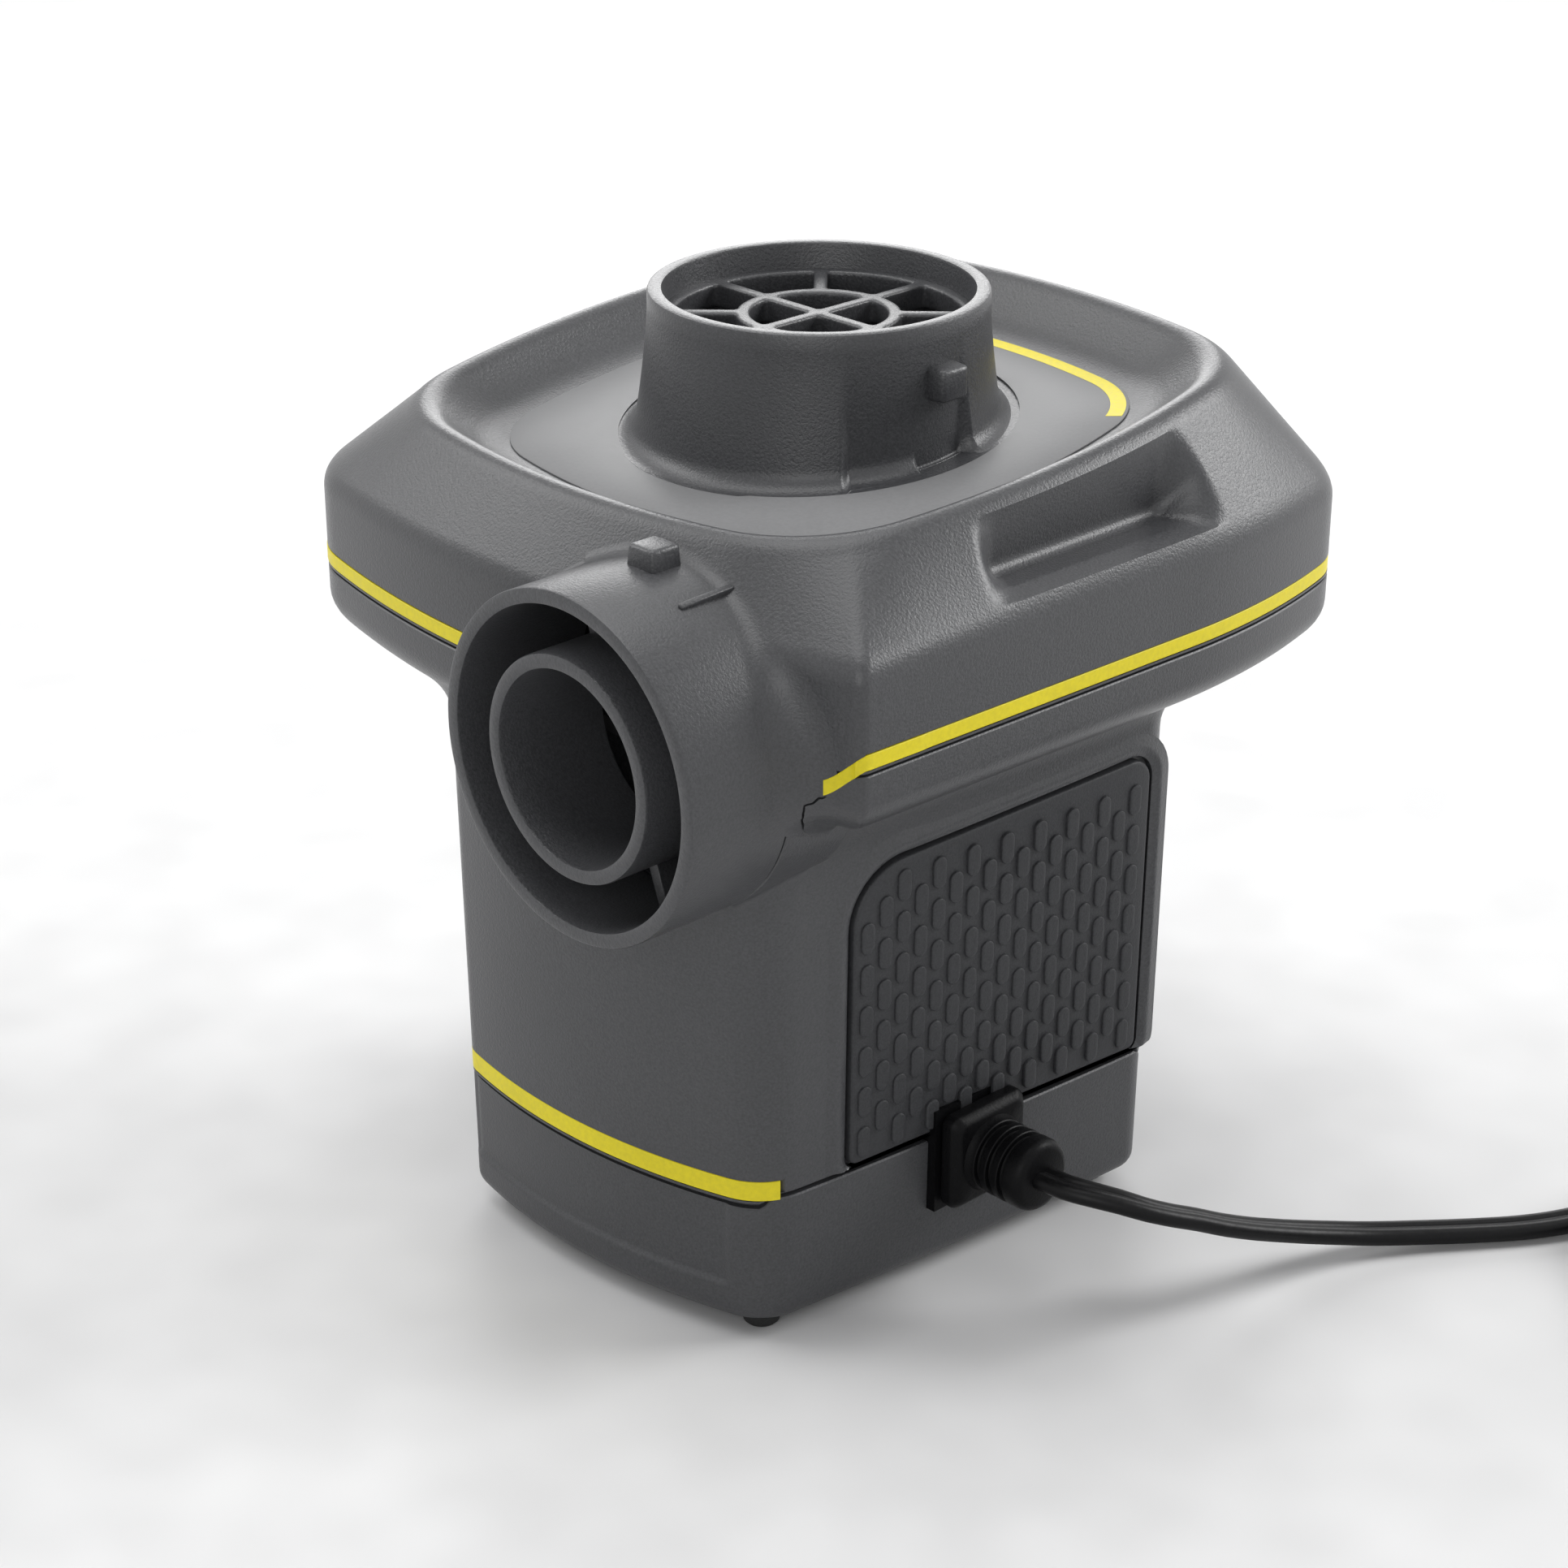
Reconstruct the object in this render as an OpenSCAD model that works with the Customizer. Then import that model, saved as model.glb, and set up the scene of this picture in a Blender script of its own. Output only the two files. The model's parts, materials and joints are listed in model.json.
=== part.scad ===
// Electric air mattress pump with a deflate port on top and an inflate port on the front.
// Millimetres, +Z up. The inflate port looks towards -Y and the power inlet towards +X.
// The origin lies on the ground under the middle of the pump.

/* [Head] */
// Half width of the head
head_half = 66; // [63:0.5:70]
// Radius of the head's bowed sides
head_bow = 320; // [220:10:600]
// Radius of the head's upright corners
head_corner_r = 15; // [8:0.5:18]
// Radius of the head's front left corner
head_left_r = 24; // [16:0.5:26]
// Height of the parting line between top cover and main body
seam_z = 103; // [102:0.5:106]
// Height of the top of the head's upright side
shoulder_z = 118; // [115:0.5:121]
// Half width of the dish at its rim
rim_half = 54; // [52:0.5:56]
// Radius of the dish rim's bowed sides
rim_bow = 160; // [130:5:320]
// Radius of the dish rim's corners
rim_corner_r = 24; // [16:0.5:27]
// Height of the dish rim above the deflate port's axis
rim_z = 135.2; // [133:0.2:138]
// Half width of the dish floor
floor_half = 44.5; // [42:0.5:46]
// Height of the dish floor at the deflate port's axis
floor_z = 128; // [126:0.2:130]
// Forward slope of the dish
dish_slope = 5; // [2:0.5:6]
// Wall of the moulded housings
wall = 2.4; // [1.8:0.1:2.8]

/* [Shoulder pocket] */
// Width of the pocket at the outside of the head
pocket_w = 54; // [40:1:64]
// Distance of the pocket's back wall outside the middle of the dish rim
pocket_out = 0.6; // [-0.6:0.1:1.6]
// Height of the pocket floor
pocket_z = 121.6; // [120:0.1:123]

/* [Deflate port] */
// Height of the deflate port's rim above the ground
port_top_z = 150; // [144:0.5:156]
// Outside radius of the deflate port
port_r = 27; // [25:0.1:28]
// Wall of both ports
port_wall = 2.4; // [1.8:0.1:3]
// Share of the deflate port's height above the dish that its straight land takes
land_share = 0.55; // [0.4:0.01:0.6]
// Depth of the grille below the deflate port's rim
grille_drop = 4.3; // [3:0.1:7]
// Radius of the grille's inner ring
grille_ring_r = 12; // [9:0.5:15]
// Width of the grille's bars
grille_bar = 2.2; // [1.5:0.1:3]
// Height of the grille's bars
grille_h = 4; // [2.5:0.1:6]
// Spokes between the grille's ring and the port
spoke_count = 8; // [6:1:12]
// Width of the bayonet lugs
lug_w = 6; // [4:0.2:8]
// How far a bayonet lug stands out
lug_out = 3; // [2:0.1:4]
// Share of that height from the rim down to the bayonet lug
lug_share = 0.3; // [0.2:0.01:0.35]

/* [Inflate port] */
// Offset of the inflate port to the right of the deflate port's axis
outlet_x = 27.5; // [24:0.5:30]
// Height of the inflate port's axis
outlet_z = 99.7; // [98:0.1:101]
// Outside radius of the inflate port
outlet_r = 27; // [25:0.1:28]
// Distance of the inflate port's face from the deflate port's axis
outlet_reach = 77; // [73:0.5:84]
// Outside radius of the nozzle seat inside the inflate port
seat_r = 17.4; // [15:0.1:19]
// Wall of the nozzle seat
seat_wall = 2.4; // [1.6:0.1:3]
// Webs that carry the nozzle seat
web_count = 4; // [3:1:6]
// Distance of the inflate port's lug behind its face
outlet_lug_y = 17.6; // [12:0.1:18]

/* [Column] */
// Distance of the column's front inside the head's front
front_in = 3; // [2:0.5:5]
// Distance of the column's back from the deflate port's axis
column_back = 34.5; // [33:0.5:40]
// Distance of the column's right face from the deflate port's axis
column_right = 51.5; // [49:0.1:53]
// Distance of the column's left face from the deflate port's axis
column_left = 28.9; // [27:0.1:34]
// Radius of the column's bowed front and back
column_bow = 110; // [95:1:130]
// Radius of the column's front right corner
column_front_r = 11; // [6:0.5:13]
// Radius of the column's other corners
column_corner_r = 6; // [5:0.5:8]
// Draft of the column, in degrees
column_draft = 0.8; // [0.3:0.1:1.5]
// Height where the bowl under the head begins to curve in
bowl_top_z = 98.5; // [97:0.5:100]
// Height over which the bowl curves under
bowl_drop = 8; // [7:0.25:9]
// How far the bowl curves in
bowl_in = 12; // [9:0.5:13]

/* [Base] */
// Height of the seam between main body and base cover
base_seam_z = 24; // [22:0.5:27]
// Height of the feet
foot_h = 2.2; // [1.6:0.2:4]
// Radius of the feet
foot_r = 3.4; // [2.8:0.1:3.6]
// Radius of the rounded bottom edge
base_edge_r = 3.2; // [2.6:0.1:4]

/* [Stripes] */
// Height of the yellow stripe round the head
head_stripe_h = 2.4; // [1.6:0.1:3.2]
// Height of the yellow stripe on the front of the column
base_stripe_h = 3.4; // [2:0.1:4]
// Depth that the stripes are let in
stripe_t = 0.8; // [0.5:0.1:1.1]

/* [Grips] */
// Length of the grip pads
grip_l = 60; // [50:1:61]
// Height of the grip pads
grip_h = 52; // [36:1:54]
// Radius of the grip pads' upper corners
grip_corner_r = 9; // [5:0.5:14]
// Thickness of the grip pads
grip_t = 2; // [1.6:0.1:2.6]
// Depth of the recess that holds a grip pad
grip_recess = 1.2; // [0.8:0.1:1.4]

/* [Power inlet] */
// Width and height of the plug's square flange
flange_w = 16.5; // [14:0.5:18]
// Thickness of the plug's flange
flange_t = 3.5; // [2.5:0.1:5]
// Height of the inlet's centre
inlet_z = 22; // [20:0.5:24]
// Distance of the inlet's centre in front of the deflate port's axis
inlet_y = 13.5; // [10:0.5:18]
// Radius of the plug's strain relief
relief_r = 6.1; // [5:0.1:6.5]
// Length of the plug's strain relief
relief_l = 11; // [10:0.5:14]
// Radius of the inlet's contact pins
pin_r = 1.2; // [0.8:0.05:1.5]

/* [Switch] */
// Width of the switch bezel
switch_w = 21; // [17:0.5:25]
// Height of the switch bezel
switch_h = 15; // [12:0.5:18]
// Height of the switch's centre
switch_z = 56; // [48:0.5:64]
// Distance of the switch's centre to the right of the deflate port's axis
switch_x = 11; // [6:0.5:14]

/* [Motor and impeller] */
// Radius of the motor can
motor_r = 17.5; // [15:0.25:20]
// Length of the motor can
motor_l = 40; // [34:0.5:42]
// Radius of the motor shaft
shaft_r = 1.6; // [1.25:0.05:2]
// Radius of the impeller
impeller_r = 40; // [36:0.5:42]
// Height of the impeller's blades
blade_h = 13.5; // [10:0.5:14]
// Number of blades
blade_count = 12; // [8:1:16]
// Thickness of the blades
blade_t = 1.4; // [1:0.1:2]

/* [Cord] */
// Width of the flat twin cord
cord_w = 5.2; // [4.4:0.1:6]
// Thickness of the flat twin cord
cord_t = 2.8; // [2.2:0.1:3.2]

/* [Hidden] */

// Colours as seen on the product
grey = [0.27, 0.27, 0.28];
dark_grey = [0.2, 0.2, 0.21];
black = [0.06, 0.06, 0.06];
yellow = [0.97, 0.87, 0.16];
steel = [0.66, 0.67, 0.69];
copper = [0.76, 0.42, 0.2];
white_nylon = [0.88, 0.87, 0.82];
board_green = [0.13, 0.4, 0.22];
sleeve_blue = [0.15, 0.2, 0.35];
lead_colour = [0.7, 0.12, 0.1];

// Clearances
seat_gap = 0.1;
run_gap = 0.05;
free_gap = 0.4;
fit_gap = 0.3;
cut_over = 1;

round_n = 64;
corner_steps = 6;
side_steps = 16;

// The deflate port's axis stands behind the middle of the ground plan, which runs from the inflate
// port's face to the back of the head.
axis_y = (outlet_reach - head_half) / 2;
column_front = head_half - front_in;

module at_axis() {
    translate([0, axis_y, 0]) children();
}

function lerp(a, b, t) = a + (b - a) * t;
function unit_range(t) = min(1, max(0, t));
function bearing(v) = atan2(v[1], v[0]);
function not_below(a, b) = b + 360 * ceil((a - b) / 360);

// A bowed side is an arc, [centre, radius], whose middle lies h from the axis towards angle n.
function bowed_side(n, h, bow) = [[(h - bow) * cos(n), (h - bow) * sin(n)], bow];

// Centre of the round corner where side s turns into side t.
function corner_centre(s, t, r) =
    let (a = s[1] - r, b = t[1] - r, v = t[0] - s[0], d = norm(v), u = v / d,
         m = (a * a - b * b + d * d) / (2 * d))
    s[0] + m * u + sqrt(a * a - m * m) * [-u[1], u[0]];

// Plan of four bowed sides with round corners, drawn in by inset. Every plan has the same number of
// points in the same order, so that plans of different form can be skinned together.
min_corner_r = 0.6;
function plan(sides, corner_rs, inset) =
    let (arcs = [for (s = sides) [s[0], s[1] - inset]],
         rs = [for (r = corner_rs) max(min_corner_r, r - inset)],
         centres = [for (i = [0:3]) corner_centre(arcs[i], arcs[(i + 1) % 4], rs[i])])
    [for (i = [0:3])
        let (s = arcs[(i + 1) % 4], c = centres[i], e = centres[(i + 1) % 4],
             a0 = bearing(c - arcs[i][0]),
             a1 = not_below(a0, bearing(c - s[0])),
             a2 = not_below(a1, bearing(e - s[0])))
        each concat(
            [for (k = [0:corner_steps])
                let (a = lerp(a0, a1, k / corner_steps)) c + rs[i] * [cos(a), sin(a)]],
            [for (k = [1:side_steps - 1])
                let (a = lerp(a1, a2, k / side_steps)) s[0] + s[1] * [cos(a), sin(a)]])];

// The head's plan turns from the rounder dish rim to the outside, where the front left corner is wider.
// Inside the rim it keeps its form and shrinks.
function head_share(half) = unit_range((half - rim_half) / (head_half - rim_half));
function dish_scale(half) = min(1, half / rim_half);
function head_corners(half) =
    let (r = rim_corner_r * dish_scale(half),
         even = lerp(r, head_corner_r, head_share(half)))
    [even, even, even, lerp(r, head_left_r, head_share(half))];
function head_plan(half, inset) =
    let (bow = lerp(rim_bow * dish_scale(half), head_bow, head_share(half)))
    plan([for (n = [-90:90:180]) bowed_side(n, half, bow)], head_corners(half), inset);

// The column's sides are flared a little towards the back. Its distances hold at the gauge height.
right_flare = -4.6;
left_flare = 184.5;
front_mid_x = 4.5;
back_mid_x = 11;
side_bow = column_bow * 9;
gauge_z = 78;
column_sides = [
    [[front_mid_x, column_bow - column_front], column_bow],
    bowed_side(right_flare, column_right, side_bow),
    [[back_mid_x, column_back - column_bow], column_bow],
    bowed_side(left_flare, column_left, side_bow)];
column_corners = [column_front_r, column_corner_r, column_corner_r, column_corner_r];
function column_inset(z) = (gauge_z - z) * tan(column_draft);
function column_plan(z, inset) = plan(column_sides, column_corners, column_inset(z) + inset);

function lift(p, z, slope = 0) = [for (q = p) [q[0], q[1], z + tan(slope) * q[1]]];
function round_plan(p, r) = [for (q = p) r * q / norm(q)];

// Skin through rings of equal point count. A looped skin joins the last ring to the first, and any
// other is closed by flat ends.
module skin(rings, looped = false) {
    n = len(rings[0]);
    m = len(rings);
    last = looped ? m - 1 : m - 2;
    walls = [for (j = [0:last], i = [0:n - 1])
        let (k = (i + 1) % n, up = ((j + 1) % m) * n)
        each [[j * n + i, up + i, up + k], [j * n + i, up + k, j * n + k]]];
    ends = looped ? [] : [[for (i = [0:n - 1]) i], [for (i = [n - 1:-1:0]) (m - 1) * n + i]];
    polyhedron([for (r = rings) each r], concat(walls, ends));
}

// Indices of the one unbroken run of flagged points on a ring, in order along the ring
function flagged_run(flags) =
    let (n = len(flags))
    let (first = [for (i = [0:n - 1]) if (flags[i] == 1 && flags[(i + n - 1) % n] == 0) i][0])
    [for (k = [0:flags * flags - 1]) (first + k) % n];

// Bar of rectangular section bent along the rings' points from first to last.
module band(outer_low, outer_high, inner_high, inner_low, picks) {
    rows = [for (i = picks) [outer_low[i], outer_high[i], inner_high[i], inner_low[i]]];
    skin(rows);
}

module tube(r, wall_t, l) {
    difference() {
        cylinder(h = l, r = r, $fn = round_n);
        translate([0, 0, -cut_over]) cylinder(h = l + 2 * cut_over, r = r - wall_t, $fn = round_n);
    }
}

// Lays a child that stands along +Z down, so that it points along -Y from the given place.
module facing_front(p) {
    translate(p) rotate([90, 0, 0]) children();
}

module facing_right(p) {
    translate(p) rotate([0, 90, 0]) children();
}

// Top cover: dish, shoulder with its pocket and the inflate port in one moulding
pocket_x = rim_half + pocket_out;
pocket_end = 6;
shoulder_round = 2.4;
rim_round = 1.8;
head_ring = head_plan(head_half, 0);
// How far each point of a ring lies inside the pocket, from 0 to 1
pocket_share = [for (q = head_ring)
    q[0] > 0 ? unit_range((pocket_w / 2 - abs(q[1])) / pocket_end) : 0];
pocket_taper = 0.8;
function pocketed(ring, x, z) =
    [for (i = [0:len(ring) - 1])
        lerp(ring[i], [x, ring[i][1] * pocket_taper, z], pocket_share[i])];

stripe_z0 = seam_z + 0.5;
stripe_z1 = stripe_z0 + head_stripe_h + 2 * seat_gap;
shell_z1 = shoulder_z + shoulder_round;
dish_back = wall * 1.3;

module cover_shell() {
    slope = dish_slope;
    rim_low = rim_z - rim_round / 2;
    skin([
        lift(head_plan(head_half, 0), seam_z),
        lift(head_plan(head_half, 0), stripe_z0),
        lift(head_plan(head_half, stripe_t), stripe_z0),
        lift(head_plan(head_half, stripe_t), stripe_z1),
        lift(head_plan(head_half, 0), stripe_z1),
        lift(head_plan(head_half, 0), shoulder_z),
        lift(head_plan(head_half, shoulder_round / 4), shoulder_z + shoulder_round / 2),
        pocketed(lift(head_plan(head_half, shoulder_round * 0.7), shell_z1), pocket_x, pocket_z),
        lift(head_plan(rim_half + rim_round, 0), rim_low, slope),
        lift(head_plan(rim_half, 0), rim_z, slope),
        lift(head_plan(rim_half - rim_round, 0), rim_low, slope),
        lift(head_plan(floor_half + rim_round, 0), floor_z + rim_round / 2, slope),
        lift(head_plan(floor_half, 0), floor_z, slope),
        lift(round_plan(head_ring, port_hole_r), floor_z, slope),
        lift(round_plan(head_ring, port_hole_r), floor_z - wall, slope),
        lift(head_plan(floor_half + wall / 3, 0), floor_z - wall, slope),
        pocketed(lift(head_plan(rim_half, 0), rim_z - dish_back, slope), pocket_x - 2 * wall, floor_z + 1),
        pocketed(lift(head_plan(head_half, wall + 1), shell_z1 - wall / 2),
                 pocket_x - wall, pocket_z - wall),
        lift(head_plan(head_half, wall), shoulder_z - wall / 2),
        lift(head_plan(head_half, wall), seam_z)], looped = true);
}

// The deflate port: a duct that stands on the scroll's cover and comes up through the dish.
// Its land for nozzles is straight above the lug, relieved beside it, and a cone below.
port_cone = 5.4;
port_edge = 0.5;
land_step = 0.6;
scroll_top_z = 117;
port_low_z = scroll_top_z;
port_h = port_top_z - floor_z;
port_land = land_share * port_h;
lug_drop = lug_share * port_h;
port_lug_h = 0.25 * port_h;
port_foot_z = floor_z + port_r * tan(dish_slope);
port_cone_h = port_top_z - port_land - port_foot_z;
port_foot_r = port_r + port_cone_h * tan(port_cone);
port_hole_r = port_foot_r + seat_gap;
port_inner_r = port_r - port_wall;
lug_top_z = port_top_z - lug_drop;
module port_duct() {
    rotate_extrude($fn = round_n)
        polygon([
            [port_inner_r, port_low_z],
            [port_foot_r, port_low_z],
            [port_foot_r, port_foot_z],
            [port_r - land_step, port_top_z - port_land],
            [port_r - land_step, lug_top_z + land_step],
            [port_r, lug_top_z + land_step],
            [port_r, port_top_z - port_edge],
            [port_r - port_edge, port_top_z],
            [port_inner_r, port_top_z]]);
}

// A bayonet lug grows out of a port's skin
lug_h = 6;
lug_root = 1;
module lug(r, h) {
    translate([r - lug_root, -lug_w / 2, -h / 2]) cube([lug_out + lug_root, lug_w, h]);
}

outlet_end_y = head_half - 12;
outlet_l = outlet_reach - outlet_end_y;
outlet_land = 10;
module top_cover() {
    color(grey) at_axis() {
        difference() {
            union() {
                cover_shell();
                facing_front([outlet_x, -outlet_end_y, outlet_z])
                    cylinder(h = outlet_l - outlet_land / 2, r = outlet_r - land_step, $fn = round_n);
                facing_front([outlet_x, outlet_land - outlet_reach, outlet_z])
                    cylinder(h = outlet_land, r = outlet_r, $fn = round_n);
                translate([outlet_x, -outlet_reach + outlet_lug_y, outlet_z])
                    rotate([0, -90, 0]) lug(outlet_r, lug_h);
            }
            facing_front([outlet_x, -outlet_end_y + cut_over, outlet_z])
                cylinder(h = outlet_l + 2 * cut_over, r = outlet_r - port_wall, $fn = round_n);
        }
    }
}

module intake_port() {
    color(grey) at_axis() {
        port_duct();
        translate([0, 0, lug_top_z - port_lug_h / 2]) lug(port_r, port_lug_h);
    }
}

// Printed overlay that covers the dish floor round the deflate port
overlay_t = 0.3;
overlay_edge = 2;
overlay_hole_r = port_foot_r + 3;
module dish_overlay() {
    low = floor_z + run_gap;
    outer = head_plan(floor_half - overlay_edge, 0);
    hole = round_plan(head_ring, overlay_hole_r);
    color([0.55, 0.55, 0.56]) at_axis() skin([
        lift(outer, low, dish_slope),
        lift(outer, low + overlay_t, dish_slope),
        lift(hole, low + overlay_t, dish_slope),
        lift(hole, low, dish_slope)], looped = true);
}

module intake_grille() {
    ring_z = port_top_z - grille_drop - grille_h;
    span = port_inner_r - seat_gap;
    color(grey) at_axis() translate([0, 0, ring_z]) {
        tube(grille_ring_r + grille_bar / 2, grille_bar, grille_h);
        tube(span, grille_bar / 2, grille_h);
        for (a = [0, 90])
            rotate(a) translate([-grille_ring_r, -grille_bar / 2, 0])
                cube([2 * grille_ring_r, grille_bar, grille_h]);
        for (i = [0:spoke_count - 1])
            rotate(360 * i / spoke_count) translate([grille_ring_r, -grille_bar / 2, 0])
                cube([span - grille_ring_r - grille_bar / 4, grille_bar, grille_h]);
    }
}

// Nozzle seat: tube in the middle of the inflate port, carried by set-back webs
web_back = 8;
web_t = 2;
seat_back = 3;
web_l = outlet_l - web_back - seat_back;
module nozzle_seat() {
    span = outlet_r - port_wall - seat_gap;
    seat_l = web_back + web_l;
    color(grey) at_axis() facing_front([outlet_x, -outlet_reach + seat_l, outlet_z]) {
        tube(seat_r, seat_wall, seat_l);
        for (i = [0:web_count - 1])
            rotate(45 + 360 * i / web_count) translate([seat_r - seat_wall / 2, -web_t / 2, 0])
                cube([span - seat_r + seat_wall / 2, web_t, web_l]);
    }
}

// Main body: bowl and column in one moulding, with the recesses that the fitted pieces need
lip = 1.2;
lip_gap = 0.8;
bowl_steps = 5;
base_stripe_z0 = base_seam_z + 1;
base_stripe_z1 = base_stripe_z0 + base_stripe_h + 2 * seat_gap;
edge_z = 0.1;
stripe_left = -118;
stripe_right = -48;
// Share of each point of a ring that the front stripe's groove takes in
stripe_share = [for (q = column_plan(base_seam_z, 0))
    bearing(q) > stripe_left && bearing(q) < stripe_right && q[1] < -column_front / 2 ? 1 : 0];
function grooved(z) =
    let (p = column_plan(z, 0), g = column_plan(z, stripe_t))
    lift([for (i = [0:len(p) - 1]) lerp(p[i], g[i], stripe_share[i])], z);

// Ring of the bowl at angle a of the quarter ellipse in which it turns under, gap inside its skin
function bowl_ring(a, gap) =
    lift(head_plan(head_half, gap + (bowl_in - gap) * (1 - cos(a))),
         bowl_top_z - (bowl_drop - gap) * sin(a));
function bowl_rings(gap) = [for (k = [bowl_steps:-1:0]) bowl_ring(90 * k / bowl_steps, gap)];
bowl_floor_z = bowl_top_z - bowl_drop + wall;

module bowl_form() {
    skin(concat(bowl_rings(0), [
        lift(head_plan(head_half, 0), seam_z - lip_gap),
        lift(head_plan(head_half, lip), seam_z - lip_gap),
        lift(head_plan(head_half, lip), seam_z)]));
}

module bowl_hollow() {
    skin(concat(bowl_rings(wall), [lift(head_plan(head_half, wall), seam_z + cut_over)]));
}

// The column stands up into the bowl as far as this.
column_top_z = 95;
module column_form() {
    low_z = base_seam_z + lip_gap / 2;
    skin([
        lift(column_plan(base_seam_z, lip), base_seam_z),
        lift(column_plan(low_z, lip), low_z),
        lift(column_plan(low_z, 0), low_z),
        lift(column_plan(base_stripe_z0, 0), base_stripe_z0),
        grooved(base_stripe_z0 + edge_z),
        grooved(base_stripe_z1 - edge_z),
        lift(column_plan(base_stripe_z1, 0), base_stripe_z1),
        lift(column_plan(column_top_z, 0), column_top_z)]);
}

module column_hollow() {
    z0 = base_seam_z - cut_over;
    skin([lift(column_plan(z0, wall), z0), lift(column_plan(column_top_z, wall), column_top_z)]);
}

// Frame of a grip pad: children lie in the flared face, x along it to the back and y up
grip_low_z = base_stripe_z0 + 1;
grip_front = -35;
face_inset = column_inset(grip_low_z + grip_h / 2);
module on_right_face() {
    rotate(right_flare) translate([column_right - face_inset, 0, 0]) rotate([90, 0, 90]) children();
}
module on_left_face() {
    rotate(left_flare) translate([column_left - face_inset, 0, 0]) rotate([90, 0, 90]) children();
}

module grip_outline(front, l, gap) {
    r = grip_corner_r;
    x0 = front - gap;
    x1 = front + l + gap;
    y0 = grip_low_z - gap;
    y1 = grip_low_z + grip_h + gap;
    translate([x0, y0]) square([x1 - x0, y1 - y0 - r]);
    translate([x0 + r, y1 - r]) square([x1 - x0 - 2 * r, r]);
    for (x = [x0 + r, x1 - r]) translate([x, y1 - r]) circle(r = r, $fn = round_n);
}

inlet_depth = 14;
inlet_frame = 0.8;
inlet_w = flange_w + 2 * inlet_frame;
inlet_sink = 0.3;
inlet_face_x = column_right - column_inset(inlet_z) - inlet_sink;
module inlet_block(gap, l) {
    translate([inlet_face_x - l, -inlet_y - inlet_w / 2 - gap, inlet_z - inlet_w / 2 - gap])
        cube([l, inlet_w + 2 * gap, inlet_w + 2 * gap]);
}

// The switch sits on a flat on the column's back.
switch_face_y = column_back - column_inset(switch_z);
switch_depth = 11;
bezel_t = 1.6;
bezel_rim = 1.2;
switch_body_w = switch_w - 2 * bezel_rim;
switch_body_h = switch_h - 2 * bezel_rim;
module switch_block(gap, w, h, y0, l) {
    translate([switch_x - w / 2 - gap, y0, switch_z - h / 2 - gap]) cube([w + 2 * gap, l, h + 2 * gap]);
}

// Screw boss with a rib that ties it to the wall at x = tip
boss_l = 12;
rib_t = 2;
module screw_boss(p, tip) {
    translate([p[0], p[1], base_seam_z]) cylinder(h = boss_l, r = post_out_r, $fn = round_n);
    translate([min(p[0], tip), p[1] - rib_t / 2, base_seam_z + 1])
        cube([abs(tip - p[0]), rib_t, boss_l - 1]);
}

grip_left_front = -22;
grip_left_l = 57;
module main_body() {
    left_l = min(grip_left_l, grip_l);
    color(grey) at_axis() difference() {
        union() {
            difference() {
                union() {
                    bowl_form();
                    column_form();
                }
                bowl_hollow();
                column_hollow();
            }
            for (i = [0:len(screw_spots) - 1]) screw_boss(screw_spots[i], boss_tips[i]);
        }
        for (p = screw_spots) translate([p[0], p[1], base_seam_z - cut_over])
            cylinder(h = boss_l, r = screw_r + seat_gap, $fn = round_n);
        facing_front([outlet_x, -outlet_end_y + cut_over, outlet_z])
            cylinder(h = outlet_l, r = outlet_r + fit_gap, $fn = round_n);
        translate([outlet_x - outlet_r - fit_gap, -outlet_end_y + cut_over - outlet_l, outlet_z])
            cube([2 * (outlet_r + fit_gap), outlet_l, outlet_r]);
        on_right_face() translate([0, 0, -grip_recess])
            linear_extrude(grip_recess * 4) grip_outline(grip_front, grip_l, fit_gap);
        on_left_face() translate([0, 0, -grip_recess])
            linear_extrude(grip_recess * 4) grip_outline(grip_left_front, left_l, fit_gap);
        inlet_block(seat_gap, inlet_depth * 2);
        switch_block(seat_gap, switch_body_w, switch_body_h,
                     switch_face_y - switch_depth, switch_depth * 2);
    }
}

// Base cover: a tray with a rounded bottom edge
base_top_z = base_seam_z - lip_gap / 2;
base_steps = 4;
// Screws rise through the base into bosses that stand beside the column's side walls.
screw_front_y = 20 - column_front;
screw_back_y = column_back - 20;
screw_spots = [[35, screw_front_y], [-14, screw_front_y], [38, screw_back_y], [-18, screw_back_y]];
boss_tips = [46, -22.8, 50.3, -27.6];
screw_head_r = 3.2;
screw_sink = 1.4;
screw_r = 1.5;
module base_shell() {
    skin([
        each [for (k = [0:base_steps])
            let (a = 90 * k / base_steps, z = foot_h + base_edge_r * (1 - cos(a)))
            lift(column_plan(z, base_edge_r * (1 - sin(a))), z)],
        lift(column_plan(base_top_z, 0), base_top_z),
        lift(column_plan(base_top_z, lip), base_top_z),
        lift(column_plan(base_seam_z, lip), base_seam_z),
        lift(column_plan(base_seam_z, wall), base_seam_z),
        lift(column_plan(foot_h + base_edge_r, wall), foot_h + base_edge_r),
        lift(column_plan(foot_h + wall, base_edge_r), foot_h + wall)]);
}

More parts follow.
